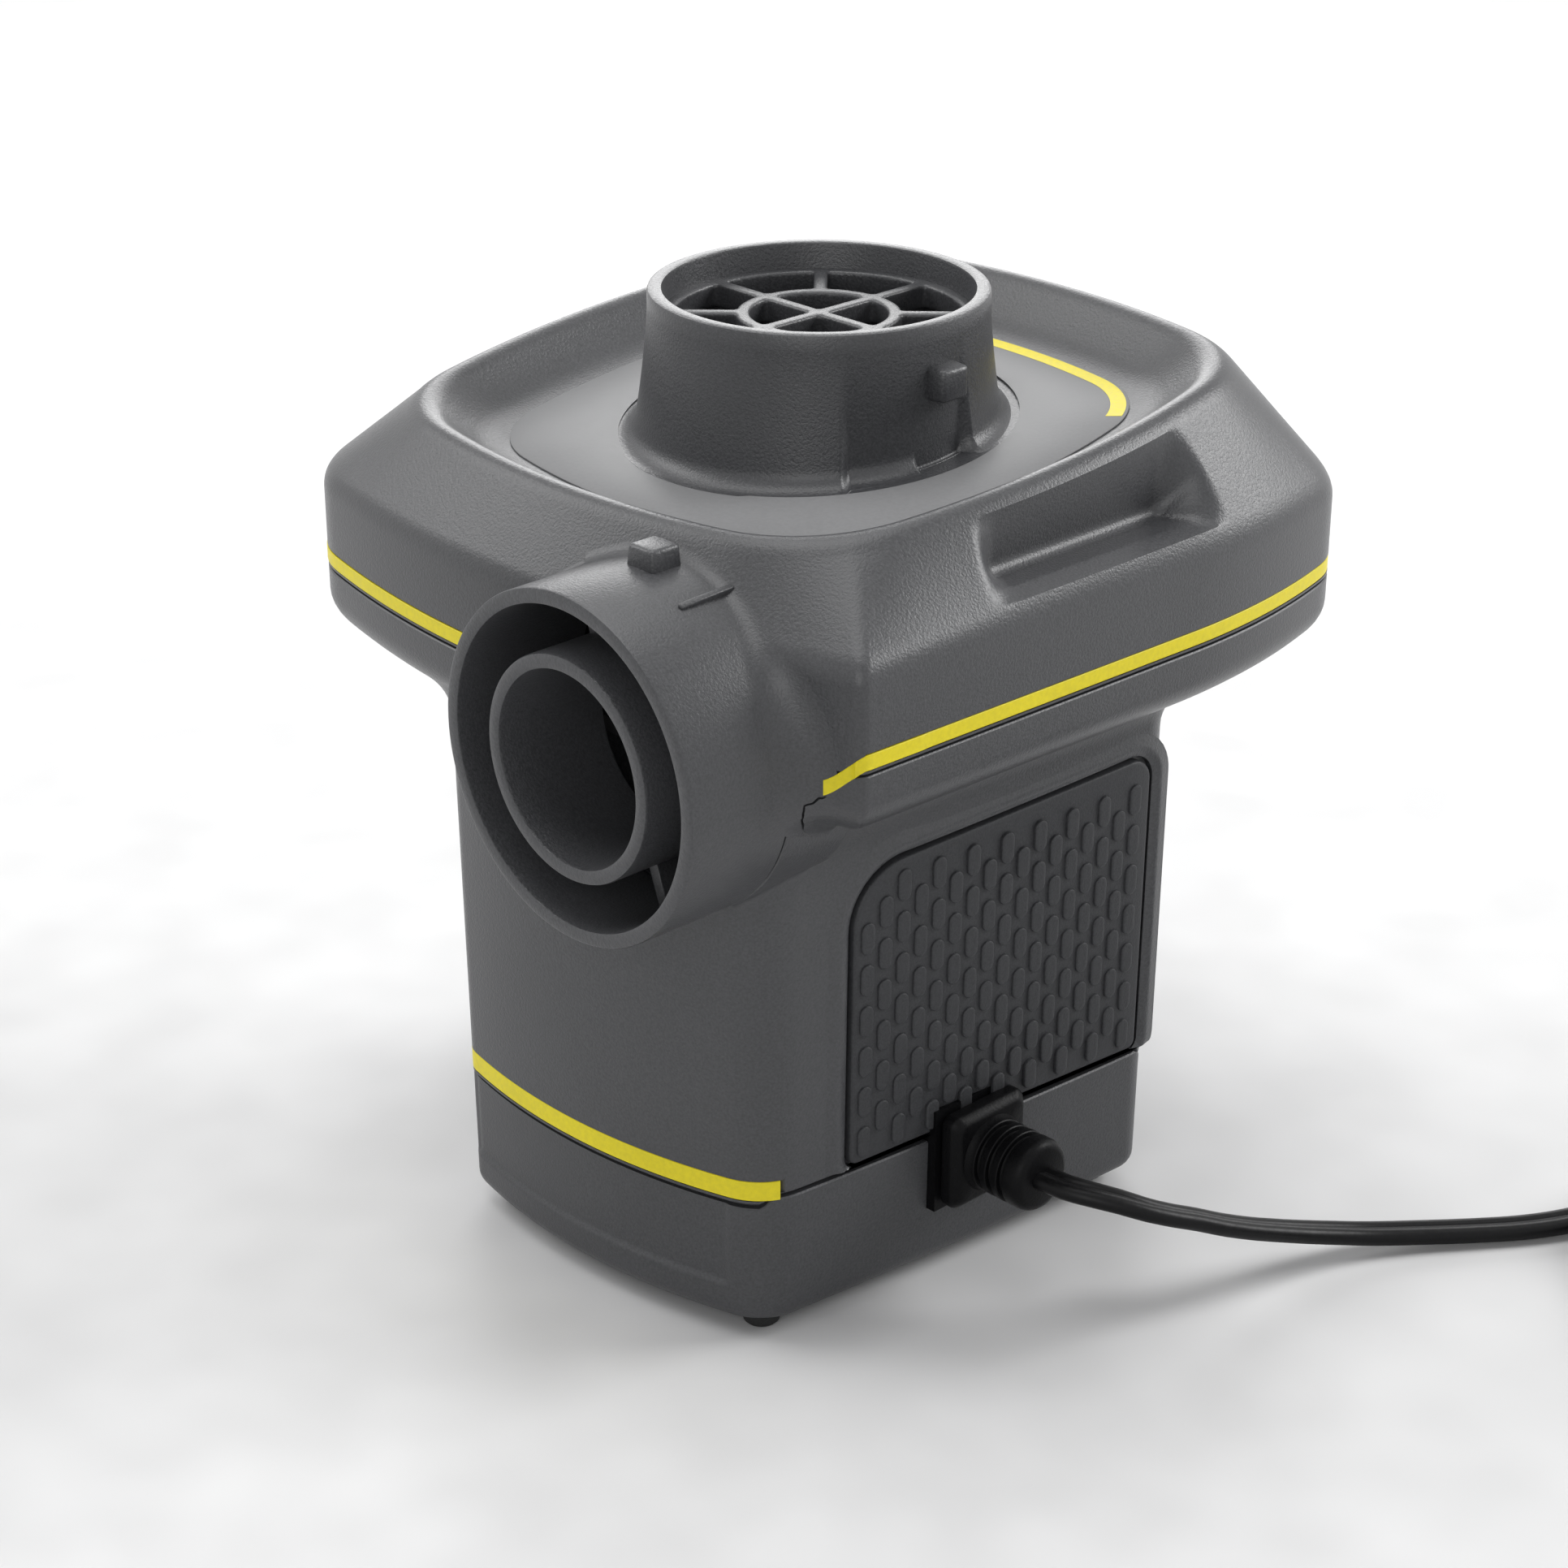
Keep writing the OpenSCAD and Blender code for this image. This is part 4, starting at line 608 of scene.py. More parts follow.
tie = {"angle": 205, "halfWide": 7.2, "halfHigh": 3.25, "z": 5.15, "section": (
    (-4.5, 1.0), (4.5, 1.0), (4.5, 1.55), (3.9, 1.75), (-3.9, 1.75), (-4.5, 1.55))}


# A strap round the coil's section at one place. Its section goes across the strap and out.
def coilTie():
    c, s = toward(math.radians(tie["angle"]))
    out, side = np.array([c, s, 0]), np.array([-s, c, 0])
    middle = np.array([*cord["coilAt"], tie["z"]]) + out * cord["turnRs"][1]
    loops = [[middle + out * x + side * across + (0, 0, z) for x, z in
              roundRect(tie["halfWide"] + off, tie["halfHigh"] + off, off, 7)]
             for across, off in tie["section"]]
    return ringStack(np.swapaxes(loops, 0, 1), looped=True)


tieObject = addObject("coilTie", coilTie(), finish["plug_black"])


print("stage: plans")
cornerSteps, sideSteps = 14, 96
headSize = {"half": 65.95, "bow": 600.0, "front": 64.6, "frontX": -3.0, "frontBow": 195.0,
            "right": 64.92, "rightTurn": -1.35, "rightBow": 9000.0, "farFrom": (65.3, 16.0),
            "farBow": 130.0, "corners": (2.2, 15.0, 18.0, 18.0), "rimHalf": 54.0,
            "rimBow": 160.0, "rimCornerR": 24.0, "slope": 5.0}
columnSize = {"front": 63.0, "back": 34.5, "right": 51.5, "left": 28.9, "bow": 110.0,
              "sideBow": 990.0, "rightTurn": -4.6, "leftTurn": 184.5, "frontX": 4.5, "backX": 11.0,
              "corners": (11.0, 6.0, 6.0, 6.0), "gaugeZ": 78.0,
              "draft": math.tan(math.radians(0.8))}


def bowedSide(normal, h, bow):
    return toward(math.radians(normal)) * (h - bow), bow


def cornerMiddle(s, t, r):
    a, b, v = s[1] - r, t[1] - r, t[0] - s[0]
    d = np.linalg.norm(v)
    u = v / d
    m = (a * a - b * b + d * d) / (2 * d)
    return s[0] + m * u + math.sqrt(a * a - m * m) * np.array([-u[1], u[0]])


def bearing(v):
    return math.atan2(v[1], v[0])


# The same angle, as many turns on as it takes to lie past the start.
def past(angle, start):
    turns = math.ceil((start - angle) / (2 * math.pi)) if angle < start else 0
    return angle + 2 * math.pi * turns


def arcPoints(middle, r, first, last, count):
    return [middle + r * toward(t) for t in np.linspace(first, last, count)]


# Outline of four bowed sides with round corners, moved in by inset, always with the same points.
def planRing(sides, cornerRs, inset):
    arcs = [(c, r - inset) for c, r in sides]
    rs = [max(0.6, r - inset) for r in cornerRs]
    middles = [cornerMiddle(arcs[i], arcs[(i + 1) % 4], rs[i]) for i in range(4)]
    points = []
    for i in range(4):
        middle, (sideMiddle, sideR) = middles[i], arcs[(i + 1) % 4]
        a = bearing(middle - arcs[i][0])
        b = past(bearing(middle - sideMiddle), a)
        e = past(bearing(middles[(i + 1) % 4] - sideMiddle), b)
        points += arcPoints(middle, rs[i], a, b, cornerSteps + 1)
        points += arcPoints(sideMiddle, sideR, b, e, sideSteps + 2)[1:-1]
    return np.array(points)


def lift(plan, z, slope=0.0):
    height = np.zeros(len(plan)) + z + math.tan(math.radians(slope)) * plan[:, 1]
    return np.column_stack([plan, height])


# The head's rings have a point at each of these bearings, close together at the near corner.
headBearings = np.radians(np.concatenate([
    np.arange(-180, -44, 0.8), np.arange(-44, -36, 0.1), np.arange(-36, 180, 0.8)]))
headWays = np.column_stack([np.cos(headBearings), np.sin(headBearings)])
frontSide = (np.array([headSize["frontX"], headSize["frontBow"] - headSize["front"]]),
             headSize["frontBow"])
farNormal = toward(math.radians(headSize["rightTurn"]))
farSide = (np.array(headSize["farFrom"]) - headSize["farBow"] * farNormal, headSize["farBow"])
nearSide = bowedSide(headSize["rightTurn"], headSize["right"], headSize["rightBow"])
hiddenSides = [bowedSide(n, headSize["half"], headSize["bow"]) for n in (90, 180)]
isFar = headBearings > bearing(headSize["farFrom"])


def radiusAt(plan):
    around = np.arctan2(plan[:, 1], plan[:, 0])
    order = np.argsort(around)
    return np.interp(headBearings, around[order], np.hypot(plan[:, 0], plan[:, 1])[order],
                     period=2 * math.pi)


# The head's wall: its right side is straight in front and bowed behind.
def wallRing(z, inset=0.0):
    near, far = [radiusAt(planRing([frontSide, side] + hiddenSides, headSize["corners"], inset))
                 for side in (nearSide, farSide)]
    return lift(headWays * np.where(isFar, far, near)[:, None], z)


# The dish has a rounder plan and slopes down to the front.
def dishRing(half, z, inset=0.0):
    scale = min(1.0, half / headSize["rimHalf"])
    sides = [bowedSide(n, half, headSize["rimBow"] * scale) for n in (-90, 0, 90, 180)]
    radius = radiusAt(planRing(sides, [headSize["rimCornerR"] * scale] * 4, inset))
    return lift(headWays * radius[:, None], z, headSize["slope"])


def roundRing(r, z):
    return lift(headWays * r, z)


def dishRound(r, z):
    return lift(headWays * r, z, headSize["slope"])


columnSides = [
    (np.array([columnSize["frontX"], columnSize["bow"] - columnSize["front"]]), columnSize["bow"]),
    bowedSide(columnSize["rightTurn"], columnSize["right"], columnSize["sideBow"]),
    (np.array([columnSize["backX"], columnSize["back"] - columnSize["bow"]]), columnSize["bow"]),
    bowedSide(columnSize["leftTurn"], columnSize["left"], columnSize["sideBow"])]


# z is one height, or one for each point.
def columnRing(z, inset=0.0):
    drawnIn = (columnSize["gaugeZ"] - float(np.mean(z))) * columnSize["draft"]
    return lift(planRing(columnSides, columnSize["corners"], drawnIn + inset), z)


# The way out of a closed outline at each of its points.
def outwards(outline):
    along = np.roll(outline, -1, axis=0) - np.roll(outline, 1, axis=0)
    return unit(np.column_stack([along[:, 1], -along[:, 0]]))


print("stage: top cover")
tube = {"x": 27.5, "z": 99.7, "r": 27.0, "wall": 2.4, "face": -77.0, "seam": -58.2, "back": -53.0,
        "seamUp": 3.3, "boreR": 25.8, "filletR": 8.0, "topFilletR": 3.6, "topFrom": 12,
        "topOver": 60, "leftFilletR": 1.6, "leftFrom": 120, "lowFilletR": 2.6, "lowFrom": -30,
        "lowOver": 18, "boreL": 32, "boreFrom": -48.0, "collarBack": -44.0, "ballFrom": -98.0,
        "ballReach": 60}
pocket = {"half": 27.0, "end": 6.0, "x": 54.6, "z": 121.6, "foot": 1.8, "sill": 0.2, "back": 0.45,
          "riser": 0.58}
cover = {  # heights with insets on the wall, half widths with heights in the dish
    "foot": ((103.0, 0.15), (103.15, 0.0), (103.5, 0.0)),
    "groove": ((103.5, 0.8), (106.1, 0.8), (106.1, 0.12)), "wall": ((106.22, 0.0), (110.0, 0.0)),
    "bend": 115.8, "corner": 118.35, "top": (55.8, 134.3), "straight": (0.15, 0.93),
    "crown": ((54.0, 136.6), (51.4, 133.7)), "fall": (49.4, 131.7),
    "valley": ((47.4, 130.0), (45.0, 128.0), (41.6, 128.0)), "flat": (36.0, 128.0),
    "hole": (27.9, 128.0), "under": 125.6, "thick": 2.4, "noGrooveX": (40.0, 63.4),
    "noGrooveY": -40.0, "innerFloor": 45.3, "innerRim": (54.0, 132.1), "innerPocketZ": 129.0,
    "innerBend": (116.8, 119.2)}


def tubePoint(r, angle, y):
    return np.array([tube["x"] + r * math.cos(angle), y, tube["z"] + r * math.sin(angle)])


def tubeSweep(profile, degrees, count):
    return ringStack([[tubePoint(r, a, y) for r, y in profile]
                      for a in np.radians(np.linspace(*degrees, count))])


def tubeCutter(r, start, length, turns=96):
    return pointed(lathe([(r, 0), (r, length)], turns, False), "front",
                   (tube["x"], start, tube["z"]))


# The slope's line in the pocket at share u of its way: along the sill, round a foot and up.
def pocketLine(first, last, u):
    sill, back, riser, foot = [pocket[key] for key in ("sill", "back", "riser", "foot")]
    if u < back:
        x = lerp(first[:, 0], pocket["x"] + foot, u / back)
        z = lerp(first[:, 2], pocket["z"], min(1.0, u / sill))
    elif u < riser:
        v = (u - back) / (riser - back) * math.pi / 2
        x = np.full(len(first), pocket["x"] + foot * (1 - math.sin(v)))
        z = np.full(len(first), pocket["z"] + foot * (1 - math.cos(v)))
    else:
        w = (u - riser) / (1 - riser)
        x = lerp(pocket["x"], last[:, 0], w)
        z = lerp(pocket["z"] + foot, last[:, 2], w)
    return np.column_stack([x, lerp(first[:, 1], last[:, 1], min(1.0, u / back)), z])


def coverRings():
    plan = wallRing(0)
    inPocket = smooth((pocket["half"] - np.abs(plan[:, 1])) / pocket["end"])
    share = np.where(plan[:, 0] > 0, inPocket, 0.0)[:, None]
    left, right = cover["noGrooveX"]
    ungrooved = ((plan[:, 0] > left) & (plan[:, 0] < right)
                 & (plan[:, 1] < cover["noGrooveY"]))[:, None]
    corner, top = wallRing(cover["corner"]), dishRing(*cover["top"])
    first, last = [lerp(corner, top, t) for t in cover["straight"]]
    outer = [wallRing(*step) for step in cover["foot"]]
    outer += [np.where(ungrooved, wallRing(z), wallRing(z, inset)) for z, inset in cover["groove"]]
    outer += [wallRing(*step) for step in cover["wall"]]
    outer += bezier(wallRing(cover["bend"]), corner, first, 8, False)
    outer += [lerp(lerp(first, last, u), pocketLine(first, last, u), share)
              for u in np.linspace(0, 1, 40)]
    outer += bezier(last, *[dishRing(*step) for step in cover["crown"]], 9)[1:]
    outer += [dishRing(*cover["fall"])]
    outer += bezier(*[dishRing(*step) for step in cover["valley"]], 7)
    outer += [dishRing(*cover["flat"]), dishRound(*cover["hole"])]

    def underPocket(ring, x, z):
        flat = np.ones(len(ring))
        return lerp(ring, np.column_stack([x * flat, ring[:, 1] * 0.8, z * flat]), share)
    thick, under, (bendLow, bendHigh) = cover["thick"], cover["under"], cover["innerBend"]
    inner = [dishRound(cover["hole"][0], under), dishRing(cover["innerFloor"], under),
             underPocket(dishRing(*cover["innerRim"]), pocket["x"] - 2 * thick,
                         cover["innerPocketZ"]),
             underPocket(wallRing(bendHigh, thick + 1), pocket["x"] - thick, pocket["z"] - thick),
             wallRing(bendLow, thick), wallRing(cover["foot"][0][0], thick)]
    return outer, inner


coverOuter, coverInner = coverRings()
coverShell = cutShape(ringStack(coverOuter + coverInner, looped=True),
                      [tubeCutter(tube["boreR"], tube["boreFrom"], tube["boreL"])])


# The inflate port's tube. Under the parting line it ends at the main body's collar.
def outletTube():
    r, inside, up = tube["r"], tube["r"] - tube["wall"], math.asin(tube["seamUp"] / tube["r"])
    splits = [a + d for a in (up, math.pi - up) for d in (-0.004, 0.004)]
    rim = roundedRim(r, inside, -tube["face"], (0.45, 0.13), (0.35, 0.1))
    sections = []
    for a in np.sort(np.concatenate([np.arange(180) * math.pi / 90, splits])):
        back = tube["back"] if math.sin(a) * r > tube["seamUp"] else tube["seam"]
        sections.append([tubePoint(away, a, -y) for away, y in
                         [(r, -back)] + rim + [(inside, -back)]])
    return ringStack(sections, looped=True)


# The round between tube and head is large beside the near corner, small elsewhere.
def tubeLines(first, last, count):
    lines = []
    for degrees in np.linspace(first, last, count):
        a = math.radians(degrees)
        r = lerp(tube["filletR"], tube["topFilletR"],
                 smooth((degrees - tube["topFrom"]) / tube["topOver"]))
        if degrees >= tube["leftFrom"]:
            r = tube["leftFilletR"]
        elif degrees < 0:
            r = lerp(tube["lowFilletR"], r, smooth((degrees - tube["lowFrom"]) / tube["lowOver"]))
        lines.append((tubePoint(tube["r"] + r, a, tube["ballFrom"]), (0, 1, 0),
                      (-math.cos(a), 0, -math.sin(a)), r))
    return lines


ledge = {"size": (1.1, 10.0, 1.3), "bevel": 0.35, "angle": 66.0, "lean": 3.0, "leanFrom": -2.0,
         "out": 0.1, "y": -59.5}


# A small rib on the tube, which leans towards the head.
def ledgeShape():
    points, faces = bevelBox(ledge["size"], ledge["bevel"])
    x, y, z = points.T
    tilt = math.radians(ledge["angle"] - 90)
    lean = math.sin(math.radians(ledge["lean"])) * (y - ledge["leanFrom"])
    out = tube["r"] + ledge["out"] + z + lean
    return np.stack([tube["x"] - math.sin(tilt) * out + math.cos(tilt) * x, ledge["y"] + y,
                     tube["z"] + math.cos(tilt) * out + math.sin(tilt) * x], 1), faces


wallRows = sum(len(cover[key]) for key in ("foot", "groove", "wall"))
coverTree = surfaceTree(ringStack([wallRing(98.5), wallRing(110.0)] + coverOuter[wallRows:],
                                  caps=False))
saddle = rolledFillet(coverTree, tubeLines(5.0, 175.0, 150), tube["ballReach"])
tubeLug = {"size": (6.0, 6.0, 4.2), "bevel": 0.7, "taper": 0.9, "behind": 17.6, "out": 1.0}
lugPoints, lugFaces = bevelBox(tubeLug["size"], tubeLug["bevel"], tubeLug["taper"])
lugPoints += (tube["x"], tube["face"] + tubeLug["behind"], tube["z"] + tube["r"] + tubeLug["out"])
addPiece("topCover", joinShapes(coverShell, outletTube(), ringStack(saddle), (lugPoints, lugFaces),
                                ledgeShape()), "housing_grey", "top_cover")


print("stage: deflate port")
port = {"r": 27.0, "wall": 2.4, "low": 118.0, "top": 150.0, "floor": 128.0, "skirt": 1.9,
        "skirtTop": 147.0, "skirtHigh": 17.0, "skirtPower": 1.4, "flareR": 2.9,
        "channel": (-36.0, 10.0, 1.9), "notch": (-11.0, 9.0, 1.2), "notchR": 0.5}
portLug = {"size": (6.0, 5.5, 4.0), "bevel": 0.7, "taper": 0.92, "out": 1.0, "z": 140.65}


# One from first to last, with soft ends of half width w.
def between(d, first, last, w):
    return smooth((d - first + w) / (2 * w)) * smooth((last + w - d) / (2 * w))


# The skirt widens downwards, except in a channel that holds the lug, and flares on to the dish.
def deflatePort():
    r, inside, low = port["r"], port["r"] - port["wall"], port["low"]
    rim = roundedRim(r, inside, port["top"], (0.6, 0.18), (0.45, 0.13))
    edges = (port["channel"][0] + 360, port["channel"][1], port["notch"][0] + 360)
    angles = np.concatenate([np.arange(180) * 2.0]
                            + [np.linspace(c - 2.4, c + 2.4, 12) + 0.01 for c in edges])
    sections = []
    for degrees in np.sort(angles):
        a, d = math.radians(degrees), (degrees + 180) % 360 - 180
        widens = port["skirt"] * (1 - between(d, *port["channel"]))
        flareR = lerp(port["flareR"], port["notchR"], between(d, *port["notch"]))
        fall = math.tan(math.radians(headSize["slope"])) * r * math.sin(a)
        ground = port["floor"] + fall - 0.1

        def skirt(z):
            down = max(0.0, (port["skirtTop"] - z) / port["skirtHigh"])
            return r + widens * down ** port["skirtPower"]
        profile = [(inside, low), (r + 0.5, low), (r + 0.5, ground - 0.8),
                   (skirt(ground) + flareR + 0.5, ground - 0.5)]
        for t in np.linspace(0, math.pi / 2, 9):
            z = ground + flareR * (1 - math.cos(t))
            profile.append((skirt(z) + flareR * (1 - math.sin(t)), z))
        profile += [(skirt(z), z) for z in np.linspace(ground + flareR + 0.8, port["skirtTop"], 10)]
        sections.append([(away * math.cos(a), away * math.sin(a), z) for away, z in profile + rim])
    return ringStack(sections, looped=True)


lugPoints, lugFaces = bevelBox(portLug["size"], portLug["bevel"], portLug["taper"])
lugPoints = lugPoints[:, [2, 0, 1]] + (port["r"] + portLug["out"], 0.0, portLug["z"])
addPiece("intakePort", joinShapes(deflatePort(), (lugPoints, lugFaces)), "housing_grey",
         "intake_port")

grille = {"ringR": 12.0, "rimR": 24.5, "bar": 2.2, "height": 4.0, "spokes": 8, "top": 145.7,
          "voxel": 0.00036, "softer": 7, "sharp": 60}


# A wheel of bars: spokes on a circle, an inner ring, a rim and a cross in the middle.
def makeGrilleGroup():
    group, gin, gout = shapeGroup("spokeWheel", ["Spokes"],
                                  ["Ring Radius", "Rim Radius", "Bar", "Height"])
    ringR, rimR, bar, height = gin["Ring Radius"], gin["Rim Radius"], gin["Bar"], gin["Height"]
    parts = group.nodes.new("GeometryNodeJoinGeometry").inputs[0]

    def m(operation, a, b):
        return nodeMath(group, operation, a, b)

    def block(x, y):
        size = outOf(group, "ShaderNodeCombineXYZ", {"X": x, "Y": y, "Z": height})
        return outOf(group, "GeometryNodeMeshCube", {"Size": size})
    spots = outOf(group, "GeometryNodeMeshCircle", {
        "Vertices": gin["Spokes"], "Radius": m("MULTIPLY", m("ADD", ringR, rimR), 0.5)})
    index = group.nodes.new("GeometryNodeInputIndex").outputs[0]
    turnZ = m("MULTIPLY", index, m("DIVIDE", 2 * math.pi, gin["Spokes"]))
    spokes = outOf(group, "GeometryNodeInstanceOnPoints", {
        "Points": spots, "Instance": block(m("SUBTRACT", rimR, ringR), bar),
        "Rotation": outOf(group, "ShaderNodeCombineXYZ", {"Z": turnZ})})
    group.links.new(spokes, parts)
    section = outOf(group, "GeometryNodeCurvePrimitiveQuadrilateral", {
        "Width": bar, "Height": height})
    for radius in (ringR, m("SUBTRACT", rimR, m("MULTIPLY", bar, 0.3))):
        circle = outOf(group, "GeometryNodeCurvePrimitiveCircle", {
            "Resolution": 96, "Radius": radius})
        group.links.new(outOf(group, "GeometryNodeCurveToMesh", {
            "Curve": circle, "Profile Curve": section}), parts)
    across = m("MULTIPLY", ringR, 2.0)
    for size in ((across, bar), (bar, across)):
        group.links.new(block(*size), parts)
    real = outOf(group, "GeometryNodeRealizeInstances", {"Geometry": parts.node.outputs[0]})
    return paintGroup(group, gin, gout, real)


grilleObject = addObject("intakeGrille", bevelBox((1, 1, 1), 0.1))
geometryModifier(grilleObject, makeGrilleGroup(), {
    "Spokes": grille["spokes"], "Ring Radius": grille["ringR"] * mm,
    "Rim Radius": grille["rimR"] * mm, "Bar": grille["bar"] * mm, "Height": grille["height"] * mm,
    "Material": finish["housing_grey"]})
blend = grilleObject.modifiers.new("blend", "REMESH")
blend.mode, blend.voxel_size = "VOXEL", grille["voxel"]
soften = grilleObject.modifiers.new("soften", "SMOOTH")
soften.factor, soften.iterations = 0.5, grille["softer"]
grilleObject = settle(grilleObject, grille["sharp"], finish["housing_grey"])
grilleZ = grille["top"] - grille["height"] / 2
grilleObject.data.transform(Matrix.Translation((0, axisY * mm, grilleZ * mm)))
place(grilleObject, "pump_body", "housing_grey", "intake_grille")


print("stage: nozzle seat")
seat = {"r": 17.4, "wall": 2.4, "length": 20.0, "webBack": 11.0, "webT": 2.0, "webReach": 8.4,
        "webAt": 20.35, "webBevel": 0.25, "webs": 4, "webTurn": 20}


def nozzleSeat():
    r, inside, length = seat["r"], seat["r"] - seat["wall"], seat["length"]
    rim = roundedRim(r, inside, length, (0.5, 0.15), (0.5, 0.15))
    shapes = [lathe([(r, 0)] + rim + [(inside, 0)])]
    webLength = length - seat["webBack"]
    for k in range(seat["webs"]):
        c, s = toward(math.radians(seat["webTurn"] + 360 / seat["webs"] * k))
        points, faces = bevelBox((seat["webReach"], seat["webT"], webLength), seat["webBevel"])
        x, y, z = (points + (seat["webAt"], 0.0, webLength / 2)).T
        shapes.append((np.stack([x * c - y * s, x * s + y * c, z], 1), faces))
    return pointed(joinShapes(*shapes), "front", (tube["x"], tube["face"] + length, tube["z"]))


addPiece("nozzleSeat", nozzleSeat(), "housing_grey", "nozzle_seat")


print("stage: overlay")
overlay = {"half": 42.5, "hole": 31.9, "z": 128.06, "thick": 0.28, "border": 2.5, "edge": 0.5,
           "borderFrom": 37, "borderTo": 134}


def overlayFilm():
    half, hole, z, top = overlay["half"], overlay["hole"], overlay["z"], overlay["thick"]
    return ringStack([dishRing(half, z), dishRing(half, z + top * 0.7),
                      dishRing(half, z + top, 0.15), dishRound(hole, z + top),
                      dishRound(hole, z)], looped=True)


# A printed border along the back edge that turns round the right corner.
def overlayBorder():
    z, near = overlay["z"] + overlay["thick"], overlay["edge"]
    far = near + overlay["border"]
    rings = [dishRing(overlay["half"], z + h, inset) for h, inset in
             ((-0.1, near), (0.03, near), (0.03, far), (-0.1, far))]
    picks = np.flatnonzero((headBearings > math.radians(overlay["borderFrom"]))
                           & (headBearings < math.radians(overlay["borderTo"])))
    return bandOf(rings, picks)


addPiece("dishOverlay", overlayFilm(), "overlay", "dish_overlay")
addPiece("overlayBorder", overlayBorder(), "stripe_yellow")


print("stage: main body")
bowl = {"top": 98.5, "drop": 8.0, "inset": 12.0, "wall": 2.4, "filletR": 7.5, "holeR": 22.0,
        "rim": 102.6, "lip": 103.0, "lipInset": 1.2, "ballFrom": 60.0, "ballReach": 45}
seam = {"column": 24.4, "base": 23.6, "jog": 1.7, "jogFrom": 6, "jogOver": 3.0}
bandSize = {"low": 25.0, "high": 28.6, "depth": 0.8, "left": -118.0, "right": -48.5, "backY": -30.0}
columnTop = 95.0


def bowlRings(gap):
    rings = []
    for a in np.radians(np.linspace(90, 0, 13)):
        inset = gap + (bowl["inset"] - gap) * (1 - math.cos(a))
        rings.append(wallRing(bowl["top"] - (bowl["drop"] - gap) * math.sin(a), inset))
    return rings


floorZ = bowl["top"] - bowl["drop"]
bowlOuter = [roundRing(bowl["holeR"], floorZ)] + bowlRings(0.0)
bowlOuter += [wallRing(bowl["rim"] - 0.2), wallRing(bowl["rim"], 0.2)]
bowlInner = [wallRing(bowl["rim"], bowl["lipInset"]), wallRing(bowl["lip"], bowl["lipInset"]),
             wallRing(bowl["lip"], bowl["wall"])]
bowlInner += bowlRings(bowl["wall"])[::-1] + [roundRing(bowl["holeR"], floorZ + bowl["wall"])]
bowlShape = ringStack(bowlOuter + bowlInner, looped=True)

# On the right side the lower parting line lies higher than on the front.
sideEnd = cornerSteps + 1 + sideSteps
ringIndex = np.arange(4 * sideEnd)
jogOver = seam["jogOver"]
jog = seam["jog"] * smooth((ringIndex - seam["jogFrom"]) / jogOver)
jog = jog * (1 - smooth((ringIndex - sideEnd - jogOver) / jogOver))
flatColumn = columnRing((bandSize["low"] + bandSize["high"]) / 2)[:, :2]
bearings = np.degrees(np.arctan2(flatColumn[:, 1], flatColumn[:, 0]))
onBand = ((bearings > bandSize["left"]) & (bearings < bandSize["right"])
          & (flatColumn[:, 1] < bandSize["backY"])).astype(float)[:, None]

columnOuter = [columnRing(seam["column"] + jog, 0.2), columnRing(seam["column"] + 0.2 + jog)]
for key, depth in (("low", 0.0), ("low", bandSize["depth"]), ("high", bandSize["depth"]),
                   ("high", 0.0)):
    ring = lerp(columnRing(bandSize[key]), columnRing(bandSize[key], depth), onBand)
    ring[:, 2] = np.maximum(ring[:, 2], columnOuter[1][:, 2] + 0.05)
    columnOuter.append(ring)
columnOuter += [columnRing(z) for z in np.linspace(29.5, columnTop, 40)]
columnInner = [columnRing(columnTop, bowl["wall"]), columnRing(seam["column"] + jog, bowl["wall"])]
columnShape = ringStack(columnOuter + columnInner, looped=True)


# The round between the column and the bowl above it.
def underBowl():
    low, high, r = columnRing(bowl["ballFrom"]), columnRing(columnTop), bowl["filletR"]
    out = np.column_stack([outwards(low[:, :2]), np.zeros(len(low))])
    lines = [(p + n * r, unit(q - p), -n, r) for p, q, n in zip(low, high, out)]
    return rolledFillet(surfaceTree(ringStack(bowlOuter, caps=False)), lines, bowl["ballReach"])


neckShape = ringStack(underBowl(), looped=True)


# Points on the column's right or left face: along it, up it and out from it.
def onFace(side, outline, out):
    s, z = np.asarray(outline).T
    n, bow = math.radians(columnSize[side + "Turn"]), columnSize["sideBow"]
    a = n + s / bow
    r = bow - (columnSize["gaugeZ"] - z) * columnSize["draft"] + out
    middle = (columnSize[side] - bow) * toward(n)
    return np.stack([middle[0] + r * np.cos(a), middle[1] + r * np.sin(a), z], -1)


# Each corner has a place and a radius.
def roundedOutline(corners, steps=10):
    count, points = len(corners), []
    for i in range(count):
        p, r = np.array(corners[i][:2]), corners[i][2]
        a, b = [unit(np.array(corners[k % count][:2]) - p) for k in (i - 1, i + 1)]
        half = math.acos(float(a @ b)) / 2
        middle = p + unit(a + b) * r / math.sin(half)
        first, last = [p + v * r / math.tan(half) - middle for v in (a, b)]
        points += [middle + unit(lerp(first, last, t)) * r for t in np.linspace(0, 1, steps + 1)]
    return np.array(points)


def grown(outline, d):
    return outline + outwards(outline) * d


grips = {
    "right": [(-34.9, 26.9, 1.5), (26.3, 26.9, 1.5), (26.3, 80.0, 4.0), (-34.9, 77.2, 10.0)],
    "left": [(-22.0, 26.9, 1.5), (35.0, 26.9, 1.5), (35.0, 77.6, 9.0), (-22.0, 77.6, 9.0)],
    "gap": 0.8, "recess": (-1.2, 4.0), "frameLow": 26.4, "frame": (  # outwards from the pad, height
        (0.8, -1.1), (0.8, 0.0), (1.0, 0.12), (1.7, 0.4), (2.3, 0.55), (2.8, 0.5), (3.8, 0.15),
        (4.6, -0.03), (4.6, -1.1))}


